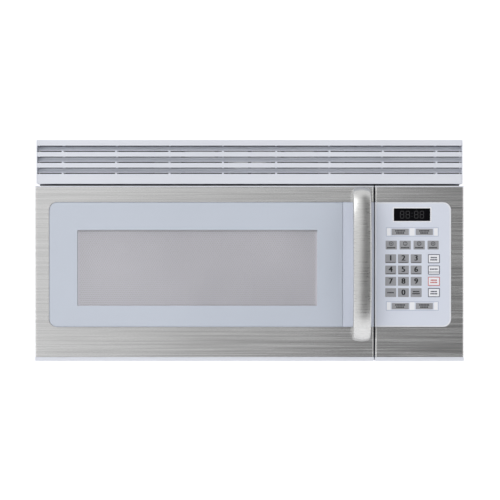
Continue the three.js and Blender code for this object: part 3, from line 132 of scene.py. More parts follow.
def finish(name, color, roughness, metallic=0.0, tone=0.03, clouds=5, streaks=None, spangle=None,
           grain=1100, depth=0.00001, spread=0.05, **sockets):
    """A material whose tone, roughness and bump vary over a piece.

    Clouds are a slow drift of tone, streaks a drawn-out one, and grain is the fine texture that
    carries the bump. Spangle is the patches of a zinc coat, which take the place of the drift.
    Each is given as repeats per metre, either one number or three along X, Y and Z: a small
    number along one axis draws it out into brushing. Depth is the bump's, in metres.
    """
    material = bpy.data.materials.new(name)
    material.use_nodes = True
    graph = Graph(material.node_tree)
    shader = material.node_tree.nodes["Principled BSDF"]
    place = graph.add("ShaderNodeTexCoord").outputs["Object"]

    def spaced(repeats):
        scale = repeats if isinstance(repeats, tuple) else (repeats,) * 3
        return graph.add("ShaderNodeMapping", {"Vector": place, "Scale": scale})

    def noise(repeats, detail=3.0):
        return graph.add("ShaderNodeTexNoise", {
            "Vector": spaced(repeats), "Scale": 1.0, "Detail": detail}).outputs["Fac"]

    # Most of a noise lies near its middle, so that part of it is stretched to the whole range.
    drift = graph.ranged(noise(clouds), 0.3, 0.7, 0.0, 1.0)
    if streaks:
        lines = graph.ranged(noise(streaks, 4.0), 0.34, 0.66, 0.0, 1.0)
        share = 0.75
        drift = graph.maths("ADD", graph.maths("MULTIPLY", drift, 1 - share),
                            graph.maths("MULTIPLY", lines, share))
    if spangle:
        patches = graph.add("ShaderNodeTexVoronoi", {"Vector": spaced(spangle), "Scale": 1.0})
        drift = graph.add("ShaderNodeSeparateColor", {"Color": patches.outputs["Color"]}).outputs["Red"]
    fine = noise(grain, 2.0)
    graph.feed(shader.inputs["Base Color"], graph.add("ShaderNodeMix", {
        "Factor": drift, "A": rgba(color, 1 - tone), "B": rgba(color, 1 + tone)}, data_type="RGBA"))
    graph.feed(shader.inputs["Roughness"], graph.ranged(
        graph.maths("ADD", drift, fine), 0.4, 1.6, max(0.02, roughness - spread), roughness + spread))
    if depth:
        graph.feed(shader.inputs["Normal"], graph.add("ShaderNodeBump", {"Height": fine, "Distance": depth}))
    shader.inputs["Metallic"].default_value = metallic
    for key, value in sockets.items():
        shader.inputs[key.replace("_", " ")].default_value = value
    return material


def clear(name, color, roughness):
    """Glass that lets the lamps through to what stands behind it."""
    material = finish(
        name, color, roughness, tone=0.01, depth=0, spread=0.01, Transmission_Weight=1.0, IOR=1.45)
    graph = Graph(material.node_tree)
    nodes = material.node_tree.nodes
    mix = graph.add("ShaderNodeMixShader", {
        0: graph.add("ShaderNodeLightPath").outputs["Is Shadow Ray"],
        1: nodes["Principled BSDF"].outputs[0],
        2: graph.add("ShaderNodeBsdfTransparent", {"Color": rgba(color)})})
    graph.feed(nodes["Material Output"].inputs["Surface"], mix)
    return material


BRUSHED = dict(metallic=1.0, grain=(9, 1500, 1500), streaks=(5, 420, 420))
GLOSSY = dict(roughness=0.12, tone=0.015, depth=0.000002, spread=0.02, Coat_Weight=0.5, Coat_Roughness=0.04)
INK = dict(roughness=0.35, tone=0.05, depth=0)
FINISHES = {
    "white_plastic": dict(color=srgb(228, 231, 239), roughness=0.34, Coat_Weight=0.15, Coat_Roughness=0.2),
    "inset_white": dict(GLOSSY, color=srgb(200, 207, 219)),
    "strip_white": dict(GLOSSY, color=srgb(216, 222, 236)),
    "panel_white": dict(GLOSSY, color=srgb(226, 231, 243)),
    "brushed_steel": dict(BRUSHED, color=srgb(211, 211, 211), roughness=0.24, tone=0.15, depth=0.000006,
                          spread=0.06, Anisotropic=0.3),
    "handle_steel": dict(BRUSHED, color=srgb(202, 202, 201), roughness=0.3, tone=0.1, depth=0.000002,
                         spread=0.05, Anisotropic=0.2),
    "case_paint": dict(color=srgb(214, 216, 222), roughness=0.42, grain=700, depth=0.00002),
    "cavity_enamel": dict(color=srgb(224, 224, 220), roughness=0.3, grain=260, depth=0.00004,
                          tone=0.05, Coat_Weight=0.3),
    "zinc_steel": dict(color=srgb(176, 178, 180), roughness=0.4, metallic=1.0, tone=0.14, spangle=160,
                       depth=0.000008),
    "filter_aluminium": dict(color=srgb(206, 207, 208), roughness=0.36, metallic=1.0, tone=0.08),
    "black_plastic": dict(color=srgb(34, 34, 37), roughness=0.5, tone=0.12, depth=0.00003),
    "grey_plastic": dict(color=srgb(150, 152, 156), roughness=0.45, tone=0.06, depth=0.00002),
    "display_black": dict(color=srgb(7, 7, 11), roughness=0.16, tone=0.1, depth=0, spread=0.02,
                          Specular_IOR_Level=0.12),
    "screen_grey": dict(color=srgb(228, 226, 232), roughness=0.5, tone=0.04),
    "circuit_green": dict(color=srgb(40, 92, 58), roughness=0.4, tone=0.15, clouds=90),
    "winding": dict(color=srgb(150, 96, 60), roughness=0.4, metallic=0.6, tone=0.15, grain=(40, 40, 1600),
                    depth=0.0001),
    "mica": dict(color=srgb(190, 182, 160), roughness=0.6, tone=0.12, clouds=60, depth=0.00005),
    "key_grey": dict(color=srgb(160, 161, 165), roughness=0.25, tone=0.02, depth=0),
    "key_white": dict(color=srgb(246, 247, 251), roughness=0.25, tone=0.01, depth=0),
    "ink_black": dict(INK, color=srgb(22, 22, 26)),
    "ink_navy": dict(INK, color=srgb(38, 44, 70)),
    "ink_red": dict(INK, color=srgb(196, 84, 84)),
    "ink_line": dict(INK, color=srgb(168, 178, 200), tone=0.03),
    "dark_segment": dict(color=srgb(40, 40, 42), roughness=0.5, tone=0.05, depth=0),
    "charcoal": dict(color=srgb(24, 24, 25), roughness=0.85, tone=0.3, clouds=400, depth=0.0004),
}
CLEAR_FINISHES = {
    "glass": dict(color=srgb(251, 251, 252), roughness=0.02),
    "frosted_glass": dict(color=srgb(240, 240, 236), roughness=0.25),
}
MADE = {}


def look(name):
    """The named finish, made the first time it is asked for, in the colour that the user has set."""
    if name not in MADE:
        make, table = (clear, CLEAR_FINISHES) if name in CLEAR_FINISHES else (finish, FINISHES)
        chosen = getattr(bpy.context.scene.oven_colours, name, table[name]["color"])
        MADE[name] = make(name + "_finish", **dict(table[name], color=tuple(chosen)))
    return MADE[name]


# ---- Shapes ----
MERGE = 1e-7  # vertices nearer to each other than this are one


def softened(bm, width, above=30):
    """The mesh under construction, with every edge that turns by more than an angle rounded."""
    edges = [e for e in bm.edges if len(e.link_faces) == 2 and e.calc_face_angle(0) > math.radians(above)]
    bmesh.ops.bevel(
        bm, geom=edges, offset=width, offset_type="OFFSET", segments=2, profile=0.5, affect="EDGES",
        clamp_overlap=False)
    return bm


def block(low, high):
    """A box between two corners, as a mesh under construction."""
    low, high = Vector(low), Vector(high)
    bm = bmesh.new()
    size = Matrix.Diagonal((*(high - low), 1))
    bmesh.ops.create_cube(bm, size=1, matrix=Matrix.Translation((low + high) / 2) @ size)
    return bm


def to_mesh(bm, name, sharp=32):
    """Closes a mesh under construction, with its edges smooth up to an angle."""
    bmesh.ops.remove_doubles(bm, verts=bm.verts, dist=MERGE)
    for face in bm.faces:
        face.smooth = True
    for edge in bm.edges:
        edge.smooth = len(edge.link_faces) == 2 and edge.calc_face_angle(0) < math.radians(sharp)
    mesh = bpy.data.meshes.new(name)
    bm.to_mesh(mesh)
    bm.free()
    return mesh


def held(name, data):
    """A passing object in the scene, so that its data can be evaluated."""
    holder = bpy.data.objects.new(name, data)
    bpy.context.scene.collection.objects.link(holder)
    return holder


def settled(holder):
    """The plain mesh that a passing object's curve or modifiers make."""
    mesh = bpy.data.meshes.new_from_object(holder.evaluated_get(bpy.context.evaluated_depsgraph_get()))
    holder.modifiers.clear()
    bpy.data.objects.remove(holder)
    return mesh


def loosened(mesh):
    """A mesh under construction in place of a plain one."""
    bm = bmesh.new()
    bm.from_mesh(mesh)
    bpy.data.meshes.remove(mesh)
    return bm


def levelled(mesh):
    """The mesh with normals weighted by area, so that flat faces beside a rounded edge look flat."""
    holder = held(mesh.name, mesh)
    holder.modifiers.new("level", "WEIGHTED_NORMAL").keep_sharp = True
    made = settled(holder)
    made.name = mesh.name
    bpy.data.meshes.remove(mesh)
    return made


def piece(name, shape, finish_name, body="cabinet", replaces=()):
    """Adds a finished piece of the oven, which rides on a body of the frame."""
    mesh = levelled(shape if isinstance(shape, bpy.types.Mesh) else to_mesh(shape, name))
    made = bpy.data.objects.new(name, mesh)
    bpy.context.scene.collection.objects.link(made)
    mesh.materials.clear()
    mesh.materials.append(look(finish_name))
    if replaces:
        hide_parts(*replaces)
    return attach(made, body)


def swept(profile, path, closed_path=False):
    """Carries a closed outline along stations, each a function from outline point to place."""
    bm = bmesh.new()
    rings = [[bm.verts.new(station(p)) for p in profile] for station in path]
    for a, b in zip(rings, rings[1:] + rings[:1] if closed_path else rings[1:]):
        for i in range(len(profile)):
            j = (i + 1) % len(profile)
            bm.faces.new((a[i], a[j], b[j], b[i]))
    if not closed_path:
        bm.faces.new(rings[0])
        bm.faces.new(rings[-1])
    bmesh.ops.recalc_face_normals(bm, faces=bm.faces)
    return bm


def turned(profile, centre, sides):
    """Turns a closed outline of (radius, height) points about an upright axis."""
    def station(angle):
        return lambda p: centre + Vector((p[0] * math.cos(angle), p[0] * math.sin(angle), p[1]))

    return swept(profile, [station(math.tau * i / sides) for i in range(sides)], closed_path=True)


def bezier(p0, p1, p2, p3, count):
    """Points along a cubic curve."""
    points = []
    for i in range(count):
        t = i / (count - 1)
        u = 1 - t
        points.append(tuple(u ** 3 * a + 3 * u * u * t * b + 3 * u * t * t * c + t ** 3 * d
                            for a, b, c, d in zip(p0, p1, p2, p3)))
    return points


def front_of(low, high, grow=0.0):
    """A box's left, right, lower and upper sides as seen from the front, moved out by a distance."""
    return low.x - grow, high.x + grow, low.z - grow, high.z + grow


def rounded(x0, x1, z0, z1, radii, steps=8):
    """Points round a rectangle whose corners, from the lower left, have the given radii."""
    corners = [(x0, z0, 1, 1, math.pi), (x1, z0, -1, 1, 1.5 * math.pi), (x1, z1, -1, -1, 0),
               (x0, z1, 1, -1, math.pi / 2)]
    radii = radii if isinstance(radii, (list, tuple)) else [radii] * 4
    points = []
    for (x, z, sx, sz, start), r in zip(corners, radii):
        if r <= 0:
            points.append((x, z))
            continue
        for i in range(steps + 1):
            a = start + math.pi / 2 * i / steps
            points.append((x + sx * r + r * math.cos(a), z + sz * r + r * math.sin(a)))
    return points


def circle(x, z, radius, sides=24):
    """Points round a circle."""
    return [(x + radius * math.cos(math.tau * i / sides), z + radius * math.sin(math.tau * i / sides))
            for i in range(sides)]


def plate(outlines, front, back, edge=0.0):
    """A flat plate facing -Y, from closed outlines in (x, z), the first outside and the rest holes."""
    curve = bpy.data.curves.new("plate", "CURVE")
    curve.dimensions = "2D"
    curve.fill_mode = "BOTH"
    curve.extrude = (back - front) / 2 - edge
    curve.bevel_depth = edge
    curve.offset = -edge
    curve.bevel_resolution = 2
    for outline in outlines:
        spline = curve.splines.new("POLY")
        spline.points.add(len(outline) - 1)
        for point, (x, z) in zip(spline.points, outline):
            point.co = (x, z, 0, 1)
        spline.use_cyclic_u = True
    return curve_mesh(curve, (front + back) / 2)


def fitted_plate(node, radii, edge, holes=(), steps=8):
    """A flat plate with rounded corners that fills a CAD node's box, apart from its holes."""
    low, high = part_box(node)
    return plate([rounded(*front_of(low, high), radii, steps), *holes], low.y, high.y, edge)


def curve_mesh(curve, y):
    """A flat curve or text as a mesh that stands up at a depth and faces -Y."""
    bm = loosened(settled(held(curve.name, curve)))
    bmesh.ops.remove_doubles(bm, verts=bm.verts, dist=MERGE)
    bm.transform(Matrix.Translation((0, y, 0)) @ Matrix.Rotation(math.pi / 2, 4, "X"))
    bmesh.ops.dissolve_degenerate(bm, dist=MERGE, edges=bm.edges)
    bmesh.ops.recalc_face_normals(bm, faces=bm.faces)
    return bm


def joined(meshes):
    """Several meshes under construction as one."""
    whole = meshes[0]
    for other in meshes[1:]:
        part = bpy.data.meshes.new("part")
        other.to_mesh(part)
        other.free()
        whole.from_mesh(part)
        bpy.data.meshes.remove(part)
    return whole


def writing(text, x, z, size, weight, y0, y1):
    """Plain digits as a solid, centred on a place of the front and thickened to both sides."""
    font = bpy.data.curves.new("writing", "FONT")
    font.body = text
    font.size = size
    font.align_x, font.align_y = "CENTER", "CENTER"
    font.extrude = (y1 - y0) / 2
    bm = curve_mesh(font, (y0 + y1) / 2)
    bm.transform(Matrix.Translation((x - weight, 0, z)))
    copy = bm.copy()
    copy.transform(Matrix.Translation((2 * weight, 0, 0)))
    return joined([bm, copy])


# ---- CAD nodes ----
def coat(*nodes, finish_name=None):
    """Gives CAD nodes the finishes of their material slots, or another."""
    for node in nodes:
        material = look(finish_name or SLOT_OF[node])
        if not NODES[node].material_slots:
            NODES[node].data.materials.append(material)
        for slot in NODES[node].material_slots:
            slot.material = material


def rounded_copy(node, width, finish_name=None, sharp=32):
    """Stands a copy of a CAD node, with its edges rounded where a width is given, in its place."""
    weld, flat = 2e-6, math.radians(0.4)
    bm = bmesh.new()
    bm.from_mesh(NODES[node].data)
    bmesh.ops.remove_doubles(bm, verts=bm.verts, dist=weld)
    bmesh.ops.dissolve_limit(bm, angle_limit=flat, verts=bm.verts, edges=bm.edges)
    if width:
        softened(bm, width)
    return piece("rounded_" + node, to_mesh(bm, node + "_mesh", sharp), finish_name or SLOT_OF[node],
                 BODY_OF[node], (node,))


# ---- Geometry Nodes ----
SOCKETS = {float: "NodeSocketFloat", int: "NodeSocketInt", tuple: "NodeSocketVector"}


def repeated(name, base, finish_name, values, places):
    """Copies a base mesh to the places that a tree of named inputs works out, as one plain mesh."""
    tree = bpy.data.node_groups.new(name, "GeometryNodeTree")
    tree.interface.new_socket("Geometry", in_out="INPUT", socket_type="NodeSocketGeometry")
    identifiers = {}
    for key, value in values.items():
        socket = tree.interface.new_socket(key, in_out="INPUT", socket_type=SOCKETS[type(value)])
        identifiers[key] = socket.identifier
    tree.interface.new_socket("Geometry", in_out="OUTPUT", socket_type="NodeSocketGeometry")
    graph = Graph(tree)
    entry = graph.add("NodeGroupInput").outputs
    copies = graph.add("GeometryNodeInstanceOnPoints", {
        "Points": places(graph, entry), "Instance": entry["Geometry"]})
    real = graph.add("GeometryNodeRealizeInstances", {"Geometry": copies})
    coated = graph.add("GeometryNodeSetMaterial", {"Geometry": real, "Material": look(finish_name)})
    graph.add("NodeGroupOutput", {"Geometry": coated})
    holder = held(name, to_mesh(base, name))
    modifier = holder.modifiers.new(name, "NODES")
    modifier.node_group = tree
    for key, value in values.items():
        modifier[identifiers[key]] = value
    return loosened(settled(holder))


def in_row(name, base, finish_name, count, spacing, start=(0.0, 0.0, 0.0)):
    """Copies of a base mesh in a straight row."""
    def line(graph, entry):
        return graph.add("GeometryNodeMeshLine", {
            "Count": entry["Count"], "Start Location": entry["Start"], "Offset": entry["Spacing"]})

    return repeated(name, base, finish_name, {"Count": count, "Start": start, "Spacing": spacing}, line)


def upright_grid(graph, counts, pitches, middle):
    """Nodes for the places of an upright grid, from its columns and rows, their pitches and its middle."""
    spans = [graph.maths("MULTIPLY", pitch, graph.maths("SUBTRACT", count, 1.0))
             for count, pitch in zip(counts, pitches)]
    sheet = graph.add("GeometryNodeMeshGrid", {
        "Size X": spans[0], "Size Y": spans[1], "Vertices X": counts[0], "Vertices Y": counts[1]})
    return graph.add("GeometryNodeTransform", {
        "Geometry": sheet, "Rotation": (math.pi / 2, 0, 0), "Translation": middle})


# ---- Sizes and colours that a user may change ----
def length(name, description, default):
    """A size in metres."""
    return FloatProperty(name=name, description=description, default=default, unit="LENGTH", precision=5)


def tint(finish_name, description):
    """The colour of a finish."""
    return FloatVectorProperty(
        name=finish_name.replace("_", " ").title(), description=description, size=3, subtype="COLOR",
        default=FINISHES[finish_name]["color"], min=0.0, max=1.0)


class OvenColours(bpy.types.PropertyGroup):
    white_plastic: tint("white_plastic", "Grille, door edges and panel edges")
    inset_white: tint("inset_white", "Pale glossy inset across the front")
    brushed_steel: tint("brushed_steel", "Steel skins of the door and the control panel")
    handle_steel: tint("handle_steel", "Steel of the door handle")
    case_paint: tint("case_paint", "Painted steel of the cabinet")
    cavity_enamel: tint("cavity_enamel", "Inside of the oven")
    key_grey: tint("key_grey", "Grey keys of the keypad")


class OvenGrilleSizes(bpy.types.PropertyGroup):
    pitch: length("Louvre pitch", "Height from one louvre to the next", 0.01946)
    nose: length("Nose height", "Height of a louvre's front face", 0.0086)
    slit: length("Slit height", "Height of the air slit under a louvre", 0.0019)
    sheet: length("Wall", "Thickness of the grille's walls", 0.002)
    recess: length("Recess depth", "Depth of the hollow under a louvre's nose", 0.0125)
    edge: length("Edge rounding", "Radius on the grille's edges", 0.0006)
    louvres: IntProperty(name="Louvres", description="Number of louvres above the band", default=3, min=1)
    cap: length("End cap", "Thickness of the caps at the grille's two ends", 0.0014)
    ribs: IntProperty(name="Ribs", description="Number of upright ribs behind the louvres", default=8, min=2)
    rib_width: length("Rib width", "Width of an upright rib", 0.0032)
    rib_margin: length("Rib margin", "Door's left edge to the first rib", 0.0484)


class OvenWindowSizes(bpy.types.PropertyGroup):
    hole_pitch: length("Hole pitch", "Distance between the screen's holes", 0.00405)
    hole_width: length("Hole width", "Width of a hole of the screen", 0.0024)
    edge: length("Edge rounding", "Radius on the inset's front edge", 0.0004)
    corner: length("Corner radius", "Radius of the inset's outer corners", 0.014)


class OvenHandleSizes(bpy.types.PropertyGroup):
    crown: length("Crown", "How far the middle of the front face stands past its edges", 0.0022)
    corner: length("Corner radius", "Radius of the long edges", 0.0032)
    foot: length("Foot", "Height of each foot on the door", 0.02)
    thickness: length("Thickness", "Thickness of the bar in the middle", 0.012)


class OvenKeypadSizes(bpy.types.PropertyGroup):
    key_width: length("Key width", "Width of a number key", 0.0194)
    key_height: length("Key height", "Height of a number key", 0.0156)
    column_pitch: length("Column pitch", "Distance between columns of number keys", 0.0225)
    row_pitch: length("Row pitch", "Distance between rows of number keys", 0.02)
    corner: length("Key corner", "Radius of a key's corners", 0.0008)
    raise_by: length("Key rise", "How far a printed key is embossed", 0.0002)
    digit: length("Digit size", "Height of the digits' type", 0.0136)
    digit_weight: length("Digit weight", "How much the digits' strokes are thickened", 0.0006)


class OvenStudioSizes(bpy.types.PropertyGroup):
    floor_drop: length("Floor drop", "Base of the oven to the floor", 0.31)
    backdrop: length("Backdrop distance", "Back of the oven to the backdrop", 2.2)
    camera_distance: length("Camera distance", "Door's front to the camera", 2.949)
    lens: FloatProperty(name="Lens", description="Focal length on a 36 mm sensor", default=120, unit="CAMERA")
    key_power: FloatProperty(
        name="Key light", description="Power of the soft lamp at the upper left", default=24, unit="POWER")
    fill_power: FloatProperty(
        name="Fill light", description="Power of the soft lamp at the right", default=3, unit="POWER")


GROUPS = {
    "oven_colours": OvenColours, "oven_grille": OvenGrilleSizes, "oven_window": OvenWindowSizes,
    "oven_handle": OvenHandleSizes, "oven_keypad": OvenKeypadSizes, "oven_studio": OvenStudioSizes,
}

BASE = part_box("door_frame")[0].z  # heights on the front are above the door's lower edge
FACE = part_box("door_skin")[0].y  # the steel's front


# ---- Front: grille, door, handle, controls ----
def upright(x0, x1, section):
    """A solid of one (y, z) outline along X."""
    return swept(section, [lambda p, x=x: Vector((x, p[0], p[1])) for x in (x0, x1)])


class OVEN_OT_grille(bpy.types.Operator):
    """Build the white vent grille: stepped louvres, a plain band, end caps, ribs, and black sheets of painted
    shade above the door and behind the slits
    """
    bl_idname = "oven.grille"
    bl_label = "Vent grille"

    def execute(self, context):
        sizes = context.scene.oven_grille
        low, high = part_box("vent_grille")
        front, back, t = low.y, high.y, sizes.sheet
        x0, x1 = low.x + sizes.cap, high.x - sizes.cap
        top = high.z - sizes.slit
        self.shell(sizes, low, high, x0, x1, top)

        # A louvre is a nose over a hollow, whose wall curves from behind the shelf down to the slit.
        shelf, foot = top - sizes.nose, top - sizes.pitch + sizes.slit
        deep, lean, lift = sizes.recess, 0.0045, 0.0008
        shelf_back = front + deep * 0.6
        wall_top, bend = shelf - 0.0014, (0.0035, 0.0005)
        hollow = bezier((deep, wall_top), (deep, shelf - 0.003),
                        (lean + bend[0], foot + bend[1]), (lean, foot), 7)
        behind = [(y + t * 0.8, z + t * 0.6) for y, z in reversed(hollow)]
        louvre = upright(x0, x1, [(front + y, z) for y, z in hollow + behind])
        nose = upright(x0, x1, [
            (front, top), (front, shelf), (shelf_back, shelf + lift), (shelf_back, shelf + t + lift),
            (front + t, shelf + t), (front + t, top)])
        louvre = joined([louvre, softened(nose, sizes.edge, above=50)])
        louvres = in_row("louvre_stack", louvre, "white_plastic", sizes.louvres, (0.0, 0.0, -sizes.pitch))
        piece("grille_louvres", louvres, "white_plastic", replaces=("vent_grille",))

        # Black sheets of painted shade, in the gap above the door and behind the louvres' slits.
        self.darkness(low, high, x0, x1, t)

        # A rib stands behind the hollows, with a small block in each slit.
        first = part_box("door_frame")[0].x + sizes.rib_margin
        sides = (first - sizes.rib_width / 2, first + sizes.rib_width / 2)
        rib_front, inset, behind_it, set_back = front + deep + 2 * t, 0.0015, 0.004, 0.0012
        rib = [block((sides[0], rib_front, low.z + inset), (sides[1], back - behind_it, high.z - inset))]
        for level in [foot - i * sizes.pitch for i in range(sizes.louvres)]:
            rib.append(block((sides[0], front + set_back, level - sizes.slit - 0.0004),
                             (sides[1], rib_front + 0.001, level + 0.0003)))
        ribs = in_row("rib_row", joined(rib), "white_plastic", sizes.ribs,
                      (-2 * first / (sizes.ribs - 1), 0.0, 0.0))
        piece("grille_ribs", ribs, "white_plastic", replaces=("vent_grille",))
        return {"FINISHED"}

    def shell(self, sizes, low, high, x0, x1, top):
        """The plain band below the louvres, the roof above them and the caps at the ends."""
        front, back, t, lap = low.y, high.y, sizes.sheet, 0.001
        band_top = top - sizes.louvres * sizes.pitch
        band = upright(x0, x1, [
            (front, band_top), (front, low.z), (back, low.z), (back, low.z + t), (front + t, low.z + t),
            (front + t, band_top)])
        roof = upright(x0, x1, [
            (front, high.z), (front, top - lap), (front + t, top - lap), (front + t, high.z - t),
            (back, high.z - t), (back, high.z)])
        caps = [softened(block((a, front + 0.0006, low.z), (b, back - lap, high.z)), sizes.edge * 0.8)
                for a, b in ((low.x, x0), (x1, high.x))]
        shell = joined([softened(band, sizes.edge), softened(roof, sizes.edge), *caps])
        piece("grille_shell", shell, "white_plastic", replaces=("vent_grille",))

    def darkness(self, low, high, x0, x1, t):
        """Painted shade: a black block in the gap above the door, and a black sheet round the charcoal filter
        that darkens the slits.
        """
        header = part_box("front_header")[0].y
        door_low, door_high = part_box("door_frame")
        margin, gap, clear_of_header = 0.004, 0.0003, 0.0001
        # A black block in the gap above the door, standing in for the shade there.
        gap_shade_block = block((door_low.x + margin, header - 0.0016, door_high.z + gap + 0.0001),
                     (-door_low.x - margin, header - clear_of_header, low.z - gap))
        piece("gap_seal", softened(gap_shade_block, 0.0003), "black_plastic")
        filter_low, filter_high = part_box("charcoal_filter")
        inset, corner = 0.0002, 0.0005
        # A black sheet behind the louvres, standing in for the shade seen through the slits.
        slit_shade_sheet = plate([
            rounded(x0 + 2 * inset, x1 - 2 * inset, low.z + t + inset, high.z - t - inset, corner, 2),
            rounded(filter_low.x, filter_high.x, max(filter_low.z, low.z + 2 * t),
                    min(filter_high.z, high.z - 2 * t), corner, 2)],
            header - 0.0012, header - clear_of_header, inset)
        piece("plenum_liner", slit_shade_sheet, "black_plastic")


class OVEN_OT_door(bpy.types.Operator):
    """Build the door's white edge shell and its brushed steel skin"""
    bl_idname = "oven.door"
    bl_label = "Door"

    def execute(self, context):
        rounded_copy("door_frame", 0.0005)
        rounded_copy("door_skin", 0.00012, sharp=40)
        return {"FINISHED"}


def close_border(bm, depth):
    """Walls a sheet's open border, whose front and back vertices stand in pairs along Y."""
    steps_a_metre = 50000

    def spot(vert):
        return round(vert.co.x * steps_a_metre), round(vert.co.z * steps_a_metre)

    border = [edge for edge in bm.edges if len(edge.link_faces) == 1]
    backs = {spot(vert): vert for edge in border for vert in edge.verts if vert.co.y > depth}
    for edge in border:
        a, b = edge.verts
        pair = [backs.get(spot(vert)) for vert in (a, b)]
        if max(a.co.y, b.co.y) < depth and all(pair) and pair[0] is not pair[1]:
            bm.faces.new((a, b, pair[1], pair[0]))
    bmesh.ops.recalc_face_normals(bm, faces=bm.faces)


class OVEN_OT_window(bpy.types.Operator):
    """Build the window: glossy surround, clear pane, pale strip and perforated screen"""
    bl_idname = "oven.window"
    bl_label = "Window"

    def execute(self, context):
        sizes = context.scene.oven_window
        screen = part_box("door_screen")
        lap, gap, corner, set_back = 0.008, 0.0001, 0.002, 0.0008
        hole = front_of(*screen, -lap)
        surround = fitted_plate("window_panel", [sizes.corner, 0, 0, sizes.corner], sizes.edge,
                                [rounded(*hole, corner)])
        piece("window_surround", surround, "inset_white", "door", replaces=("window_panel",))
        low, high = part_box("window_panel")
        pane = plate([rounded(*front_of(*screen, -lap - gap), corner)], low.y + set_back, high.y, 0.0002)
        piece("window_pane", pane, "glass", "door", replaces=("window_panel",))
        strip = fitted_plate("handle_strip", 0.0004, sizes.edge, steps=2)
        piece("pale_strip", strip, "strip_white", "door", ("handle_strip",))
        self.perforated(sizes, screen, hole)
        return {"FINISHED"}

    def perforated(self, sizes, screen, hole):
        """The screen: staggered six-sided cells, each with a hole, in a plain rim."""
        low, high = screen
        pitch, thick = sizes.hole_pitch, high.y - low.y
        angles = [math.radians(a) for a in range(30, 390, 60)]
        cell = bmesh.new()
        rings = [[cell.verts.new((r * math.cos(a), y, r * math.sin(a))) for a in angles]
                 for y in (0, thick) for r in (pitch / math.sqrt(3), sizes.hole_width / 2)]
        for i in range(6):
            j = (i + 1) % 6
            for a, b in ((0, 1), (1, 3), (3, 2)):
                cell.faces.new((rings[a][i], rings[a][j], rings[b][j], rings[b][i]))
        bmesh.ops.recalc_face_normals(cell, faces=cell.faces)
        step = pitch * math.sqrt(3) / 2
        across = math.ceil((hole[1] - hole[0]) / pitch) + 1
        rows = math.ceil((hole[3] - hole[2]) / step / 2) + 1
        middle = ((hole[0] + hole[1]) / 2, low.y, (hole[2] + hole[3]) / 2)

        def two_grids(graph, entry):
            both = graph.add("GeometryNodeJoinGeometry")
            row_step = graph.maths("MULTIPLY", entry["Pitch"], math.sqrt(3) / 2)
            for side in (-1.0, 1.0):
                shift = graph.add("ShaderNodeCombineXYZ", {
                    "X": graph.maths("MULTIPLY", entry["Pitch"], side / 4),
                    "Z": graph.maths("MULTIPLY", row_step, side / 2)})
                place = graph.add("ShaderNodeVectorMath", {0: entry["Middle"], 1: shift}, operation="ADD")
                graph.feed(both.inputs[0], upright_grid(
                    graph, (entry["Across"], entry["Row Pairs"]),
                    (entry["Pitch"], graph.maths("MULTIPLY", row_step, 2.0)), place))
            return both

        field = repeated("perforations", cell, "screen_grey", {
            "Pitch": pitch, "Across": across, "Row Pairs": rows, "Middle": middle}, two_grids)
        weld, cover = 0.000005, 0.00005
        bmesh.ops.remove_doubles(field, verts=field.verts, dist=weld)
        close_border(field, low.y + thick / 2)
        reach_x, reach_z = pitch * (across - 3) / 2, step * (rows - 1.5)
        rim = plate([
            rounded(*front_of(low, high), 0.002),
            rounded(middle[0] - reach_x, middle[0] + reach_x, middle[2] - reach_z, middle[2] + reach_z,
                    0.0004, 2)], low.y - cover, high.y + cover)
        piece("perforated_screen", joined([field, rim]), "screen_grey", "door", replaces=("door_screen",))


class OVEN_OT_handle(bpy.types.Operator):
    """Build the bowed steel handle on its two feet"""
    bl_idname = "oven.handle"
    bl_label = "Handle"

    def execute(self, context):
        sizes = context.scene.oven_handle
        low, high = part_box("door_handle")
        face, out, thick = high.y, low.y, sizes.thickness
        inside = out + thick
        rise = (high.z - low.z) / 2

        # Both curves leave the door square to it and end upright in the middle of the bar.
        steps, outer_pulls, inner_pulls = 26, (0.02, 0.022), (0.012, 0.044)
        outer = bezier((face, 0), (face - outer_pulls[0], 0), (out, outer_pulls[1]), (out, rise), steps)
        inner = bezier((face, sizes.foot), (face - inner_pulls[0], sizes.foot), (inside, inner_pulls[1]),
                       (inside, rise), steps)
        lower = list(zip(outer, inner))
        path = [((a[0], low.z + a[1]), (b[0], low.z + b[1])) for a, b in lower]
        path += [((a[0], high.z - a[1]), (b[0], high.z - b[1])) for a, b in reversed(lower[:-1])]

        # The section: a crowned front face between two corners of finer steps than those behind.
        half, r = (high.x - low.x) / 2, sizes.corner
        crowned = [(x, sizes.crown * (x / half) ** 2) for x in [(half - r) * (i / 4 - 1) for i in range(9)]]
        edge = crowned[-1][1]
        front_turn = [math.radians(a) for a in (18, 36, 54, 72, 90)]
        back_turn = [math.radians(a) for a in (0, 30, 60, 90)]
        right = [(half - r + r * math.sin(a), edge + r * (1 - math.cos(a))) for a in front_turn]
        right += [(half - r * (1 - math.cos(a)), thick - r * (1 - math.sin(a))) for a in back_turn]
        profile = crowned + right + [(-x, y) for x, y in reversed(right)]
        centre = (high.x + low.x) / 2

        def station(ends):
            (y0, z0), (y1, z1) = ends
            return lambda p: Vector((
                centre + p[0], y0 + (y1 - y0) * p[1] / thick, z0 + (z1 - z0) * p[1] / thick))

        bar = swept(profile, [station(ends) for ends in path])
        piece("bowed_handle", bar, "handle_steel", "door", ("door_handle",))
        return {"FINISHED"}


